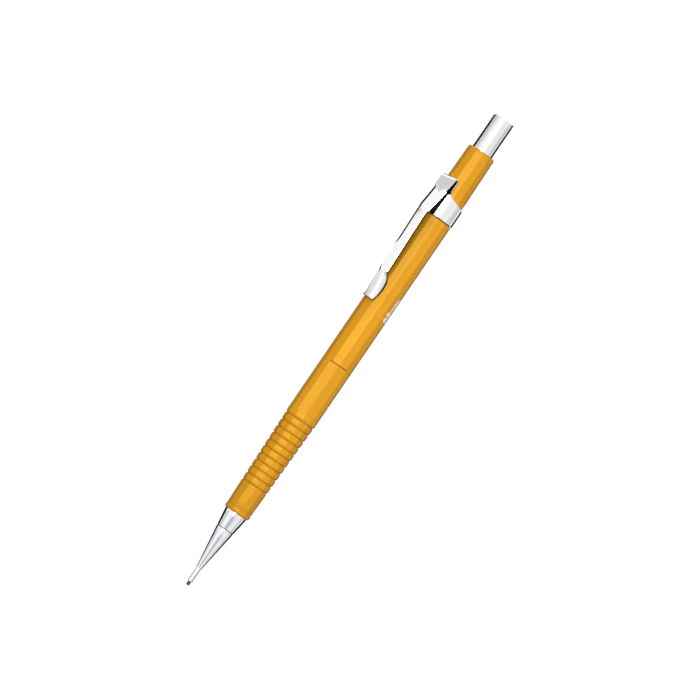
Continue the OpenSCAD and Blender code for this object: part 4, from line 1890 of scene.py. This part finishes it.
@dataclass
class CapAndEraser:
    """The satin push cap, and the eraser in its ferrule under it."""

    bench: Bench
    waves: WaveCutter
    front: float = 105.6
    rear: float = 121.8
    outer_r: float = 2.92
    inner_r: float = 2.5
    wall: float = 0.5
    cup_front: float = 106.6
    cup_r: float = 1.91
    cup_in_r: float = 1.71
    cup_floor: float = 0.2
    rim_at: float = 112.6
    rim_w: float = 0.4
    rim_r: float = 2.45
    cup_rear: float = 114.6
    eraser_r: float = 1.7
    eraser_rear: float = 120.2

    def shell(self) -> bpy.types.Mesh:
        """Turn the cap.

        Returns:
            The closed mesh, in millimetres.
        """
        inside = self.rear - self.wall
        corners = [
            (self.front, self.inner_r, 0.06), (self.front, self.outer_r, 0.12), (118.0, self.outer_r, 0),
            (self.rear, self.outer_r, 0.3), (self.rear, 0, 0), (inside, 0, 0), (inside, self.inner_r, 0.2),
        ]
        return turned("satin_cap", rounded(corners, 6), 128)

    def cup(self) -> bpy.types.Mesh:
        """Turn the ferrule with its rim and its crimped collar.

        Returns:
            The closed mesh, in millimetres.
        """
        floor, rim_end = self.cup_front + self.cup_floor, self.rim_at + self.rim_w
        corners = [
            (self.cup_front, 0, 0), (self.cup_front, self.cup_r, 0.3), (self.rim_at, self.cup_r, 0.03),
            (self.rim_at, self.rim_r, 0.1), (rim_end, self.rim_r, 0.15), (rim_end, self.cup_r, 0.08),
            (self.cup_rear, self.cup_r, 0.06), (self.cup_rear, self.cup_in_r, 0.04),
            (floor, self.cup_in_r, 0), (floor, 0, 0),
        ]
        outline = dense(rounded(corners), rim_end + 0.05, self.cup_rear - 0.05, 0.05)

        def crimped(x: float, r: float) -> float:
            """Mark the collar's outside."""
            return r if abs(r - self.cup_r) < 0.001 and x > rim_end + 0.05 else 0.0

        made = turned("eraser_cup", outline, 96, {"crimp": crimped})
        sizes = {
            "First": 113.5, "Pitch": 0.5, "Count": 2.0, "Width": 0.36, "Depth": 0.06, "Helix": 0.0,
            "Mark": "crimp",
        }
        return self.waves.run(made, FERRULE_METAL, sizes)

    def rubber(self) -> bpy.types.Mesh:
        """Turn the eraser.

        Returns:
            The closed mesh, in millimetres.
        """
        front, rear = self.cup_front + self.cup_floor, self.eraser_rear
        corners = [(front, 0, 0), (front, self.eraser_r, 0.2), (rear, self.eraser_r, 0.6), (rear, 0, 0)]
        return turned("white_eraser", rounded(corners, 8))

    def build(self) -> None:
        """Place the cap, the ferrule and the eraser."""
        place = self.bench.place
        place(self.shell(), CAP_SATIN, Body.CAP, Slot.CAP, "push_cap")
        place(self.cup(), FERRULE_METAL, Body.ERASER, Slot.FERRULE, "eraser_ferrule")
        place(self.rubber(), ERASER_RUBBER, Body.ERASER, Slot.ERASER, "eraser")


@dataclass(frozen=True)
class Lamp:
    """A soft rectangular lamp: its place and size in metres, and its power in watts."""

    name: str
    place: tuple[float, float, float]
    size: tuple[float, float]
    power: float
    shown: bool

    def build(self) -> None:
        """Make the lamp, turned to the pencil, and show it in reflections or not."""
        data = bpy.data.lights.new(self.name, "AREA")
        data.shape = "RECTANGLE"
        data.size, data.size_y = self.size
        data.energy = self.power
        lamp = bpy.data.objects.new(self.name, data)
        lamp.location = self.place
        lamp.rotation_euler = (-Vector(self.place)).to_track_quat("-Z", "Y").to_euler()
        lamp.visible_glossy = self.shown
        bpy.context.scene.collection.objects.link(lamp)


@dataclass(frozen=True)
class Card:
    """A flat studio card that only reflections see: its centre, its two half sides and its level."""

    name: str
    centre: tuple[float, float, float]
    half_x: tuple[float, float, float]
    half_y: tuple[float, float, float]
    level: float


@dataclass
class Studio:
    """A white floor, soft light, cards that shape the metal's reflections, and the camera."""

    bench: Bench
    lean: float = -0.038
    elevation: float = 52.6
    roll: float = 55.73
    distance: float = 1.2
    lens: float = 241.486
    along: float = 0.972
    across: float = -0.563
    floor_reach: float = 4.0
    floor_z: float = -0.00006
    floor_level: float = 1.15
    floor_glow: float = 0.85
    shaded_z: float = -0.00003
    shaded_front: float = -0.06
    shaded_rear: float = 0.15
    shaded_left: float = -0.076
    shaded_right: float = 0.0735
    shaded_flare: float = 0.014
    bounce_z: float = -0.00004
    bounce_reach: float = 0.2
    bounce_front: float = 0.005
    bounce_rear: float = 0.12
    bounce_level: float = 0.8
    soft_level: float = 0.1
    lamps: tuple[Lamp, ...] = (
        Lamp("key", (0.12, -0.47, 0.9), (0.62, 0.42), 8.2, True),
        Lamp("fill", (0.1, -0.95, 0.25), (1.2, 0.35), 3.0, False),
        Lamp("rim", (-0.1, 0.95, 0.2), (1.2, 0.3), 0.8, False),
    )
    cards: tuple[Card, ...] = (
        Card("grey_card", (0.35, 0.6, 0.785), (0.055, 0, 0), (0, -0.055, 0.042), 0.66),
        Card("back_card", (0.0, 0.15, 0.027), (0.2, 0, 0), (0, 0, 0.0275), 0.0),
    )

    def camera(self) -> None:
        """Make the camera at the photograph's viewing angle."""
        tilt = math.sqrt(1 - self.lean**2)
        rise = math.radians(self.elevation)
        back = Vector((self.lean, -math.cos(rise) * tilt, math.sin(rise) * tilt))
        right = (Vector((1, 0, 0)) - back * back.x).normalized()
        up = back.cross(right)
        target = Vector((0, 0, self.bench.height)) + right * self.along * MM + up * self.across * MM
        turn = math.radians(self.roll)
        axis_x = right * math.cos(turn) - up * math.sin(turn)
        axis_y = right * math.sin(turn) + up * math.cos(turn)
        data = bpy.data.cameras.new("studio_camera")
        data.lens = self.lens
        data.sensor_width = 36.0
        data.clip_start = 0.01
        made = bpy.data.objects.new("studio_camera", data)
        turned_axes = Matrix((axis_x, axis_y, back)).transposed().to_4x4()
        made.matrix_world = Matrix.Translation(target + back * self.distance) @ turned_axes
        bpy.context.scene.collection.objects.link(made)
        bpy.context.scene.camera = made

    def seen(self, nodes: Nodes) -> Wire:
        """Tell the rays that look at the background, straight or through metal and glass.

        Args:
            nodes: The nodes of the material or the world.

        Returns:
            1 for such rays, and 0 for the others.
        """
        path = nodes.make("ShaderNodeLightPath")
        rays = [Wire(nodes, path.outputs[f"Is {kind} Ray"]) for kind in ("Camera", "Glossy", "Transmission")]
        return nodes.math("MINIMUM", rays[0] + rays[1] + rays[2], 1.0)

    def stock(self, name: str) -> tuple[bpy.types.Material, Nodes]:
        """Make an empty stage material.

        Args:
            name: The material's name.

        Returns:
            The material and its nodes.
        """
        made = bpy.data.materials.new(name)
        made.use_nodes = True
        made.node_tree.nodes.clear()
        return made, Nodes(made.node_tree)

    def tones(self, nodes: Nodes, share: Wire, levels: Sequence[tuple[float, float]]) -> Wire:
        """Look up a grey on a scale.

        Args:
            nodes: The nodes of the material or the world.
            share: The place on the scale.
            levels: The scale's places and their levels.

        Returns:
            The grey at that place.
        """
        stops = [(at, (level, level, level, 1.0)) for at, level in levels]
        return nodes.wire("ShaderNodeValToRGB", {"stops": stops}, {0: share})

    def axes(self, nodes: Nodes, kind: str) -> list[Wire]:
        """Split a texture coordinate.

        Args:
            nodes: The nodes of the material or the world.
            kind: The coordinate's name.

        Returns:
            Its x, y and z.
        """
        coordinate = nodes.wire("ShaderNodeTexCoord", output=kind)
        place = nodes.make("ShaderNodeSeparateXYZ", None, {0: coordinate})
        return [Wire(nodes, socket) for socket in place.outputs]

    def light_up(self, nodes: Nodes, colour: Wire | Colour, level: float) -> None:
        """Make a material glow evenly.

        Args:
            nodes: The material's nodes.
            colour: The colour of its light.
            level: The strength of its light.
        """
        glow = nodes.wire("ShaderNodeEmission", None, {"Color": colour, "Strength": level})
        nodes.make("ShaderNodeOutputMaterial", None, {"Surface": glow})

    def sheet(self, name: str, corners: Sequence[Point], material: bpy.types.Material) -> bpy.types.Object:
        """Make a flat sheet of the stage.

        Args:
            name: The sheet's name.
            corners: Its corners, in metres.
            material: Its material.

        Returns:
            The sheet.
        """
        mesh = bpy.data.meshes.new(name)
        mesh.from_pydata([tuple(c) for c in corners], [], [list(range(len(corners)))])
        mesh.materials.append(material)
        made = bpy.data.objects.new(name, mesh)
        bpy.context.scene.collection.objects.link(made)
        return made

    def only_seen_by(self, card: bpy.types.Object, kept: str) -> None:
        """Hide a card from every kind of ray but one.

        Args:
            card: The card.
            kept: The kind that sees it, diffuse or glossy.
        """
        card.visible_camera = False
        card.visible_diffuse = kept == "diffuse"
        card.visible_glossy = kept == "glossy"
        card.visible_transmission = False
        card.visible_shadow = False

    def floor(self) -> None:
        """Make the white floor, which keeps a faint shadow."""
        material, nodes = self.stock("white_floor")
        plain = nodes.wire("ShaderNodeBsdfDiffuse", None, {"Color": (0.2, 0.2, 0.2, 1)})
        white = nodes.wire("ShaderNodeEmission", None, {"Color": WHITE, "Strength": self.floor_level})
        share = self.seen(nodes) * self.floor_glow
        surface = nodes.wire("ShaderNodeMixShader", None, {0: share, 1: plain, 2: white})
        nodes.make("ShaderNodeOutputMaterial", None, {"Surface": surface})
        reach, low = self.floor_reach, self.floor_z
        corners = [(-reach, -reach, low), (reach, -reach, low), (reach, reach, low), (-reach, reach, low)]
        self.sheet("floor", corners, material)

    def mirror_floor(self) -> None:
        """Lay the card under the pencil that gives metal its dark lower edge and the grey behind it."""
        material, nodes = self.stock("shaded_card")
        depth = self.axes(nodes, "Object")[1]
        share = nodes.wire("ShaderNodeMapRange", None, {0: depth, 1: self.shaded_front, 2: 0.0})
        levels = (
            (0.0, 0.9), (0.25, 0.9), (0.63, 0.8), (0.78, 0.7),
            (0.88, 0.55), (0.895, 0.95), (0.913, 0.95), (0.92, 0.0),
        )
        self.light_up(nodes, self.tones(nodes, share, levels), 1.0)
        left, right, low = self.shaded_left, self.shaded_right, self.shaded_z
        corners = [
            (left, self.shaded_front, low), (right, self.shaded_front, low), (right, 0.0, low),
            (right + self.shaded_flare, self.shaded_rear, low), (left, self.shaded_rear, low),
        ]
        self.only_seen_by(self.sheet("shaded_card", corners, material), "glossy")

    def bounce(self) -> None:
        """Lay the white sheet behind the pencil that lightens its far side."""
        material, nodes = self.stock("bounce_card")
        self.light_up(nodes, WHITE, self.bounce_level)
        reach, low = self.bounce_reach, self.bounce_z
        corners = [
            (-reach, self.bounce_front, low), (reach, self.bounce_front, low),
            (reach, self.bounce_rear, low), (-reach, self.bounce_rear, low),
        ]
        self.only_seen_by(self.sheet("bounce_card", corners, material), "diffuse")

    def hang(self, card: Card) -> None:
        """Hang one card in the studio.

        Args:
            card: The card's place, size and level.
        """
        material, nodes = self.stock(card.name)
        self.light_up(nodes, WHITE, card.level)
        centre, one, two = Vector(card.centre), Vector(card.half_x), Vector(card.half_y)
        corners = [centre - one - two, centre + one - two, centre + one + two, centre - one + two]
        self.only_seen_by(self.sheet(card.name, corners, material), "glossy")

    def room_tone(self, nodes: Nodes) -> Wire:
        """Shade the room that reflections see.

        Args:
            nodes: The world's nodes.

        Returns:
            White, with a grey ceiling edge and a grey streak where the pencil's front mirrors them.
        """
        x, y, z = self.axes(nodes, "Generated")
        turn = nodes.math("ARCTAN2", z, y) / math.pi
        levels = (
            (0.1, 0.95), (0.18, 0.55), (0.255, 0.66), (0.33, 0.83),
            (0.4, 0.97), (0.5, 1.0), (0.75, 1.0), (0.9, 0.88),
        )
        room = self.tones(nodes, turn, levels)
        dips = ((0.52, 1), (0.6, 0.75), (0.7, 0.42), (0.77, 0.6), (0.84, 0.88), (0.95, 1))
        front = nodes.blend(nodes.clipped(x, -0.22, -0.1), self.tones(nodes, turn, dips), WHITE)
        multiply = {"data_type": "RGBA", "blend_type": "MULTIPLY"}
        tone = nodes.wire("ShaderNodeMix", multiply, {0: 1.0, 6: room, 7: front}, 2)
        gap = nodes.clipped(x, -0.13, -0.09) * (1.0 - nodes.clipped(x, 0.0, 0.03))
        plain = nodes.math("MAXIMUM", gap, nodes.clipped(x, 0.18, 0.3))
        return nodes.blend(plain, tone, WHITE)

    def world(self) -> None:
        """Make the surroundings: faint light, and the room that reflections see."""
        world = bpy.data.worlds.new("studio")
        world.use_nodes = True
        world.node_tree.nodes.clear()
        nodes = Nodes(world.node_tree)
        tone = self.room_tone(nodes)
        shown = nodes.wire("ShaderNodeBackground", None, {"Color": tone, "Strength": 1.0})
        soft = nodes.wire("ShaderNodeBackground", None, {"Color": WHITE, "Strength": self.soft_level})
        surface = nodes.wire("ShaderNodeMixShader", None, {0: self.seen(nodes), 1: soft, 2: shown})
        nodes.make("ShaderNodeOutputWorld", None, {"Surface": surface})
        bpy.context.scene.world = world

    def build(self) -> None:
        """Make the whole studio."""
        self.camera()
        self.floor()
        self.mirror_floor()
        self.bounce()
        for card in self.cards:
            self.hang(card)
        for lamp in self.lamps:
            lamp.build()
        self.world()
        bpy.context.scene.view_settings.view_transform = "Standard"


def main() -> None:
    """Build the pencil round its frame, piece by piece, and set up the studio."""
    logging.basicConfig(level=logging.INFO, format="%(message)s")
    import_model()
    bench = Bench.from_frame()
    waves = WaveCutter()
    Studio(bench).build()
    Barrel(bench, waves).build()
    Clip(bench).build()
    Tip(bench, waves).build()
    Chuck(bench).build()
    Spring(bench, SpringWinder()).build()
    Reservoir(bench).build()
    CapAndEraser(bench, waves).build()
    bpy.context.view_layer.update()
    log.info("pencil built")


if __name__ == "__main__":
    main()
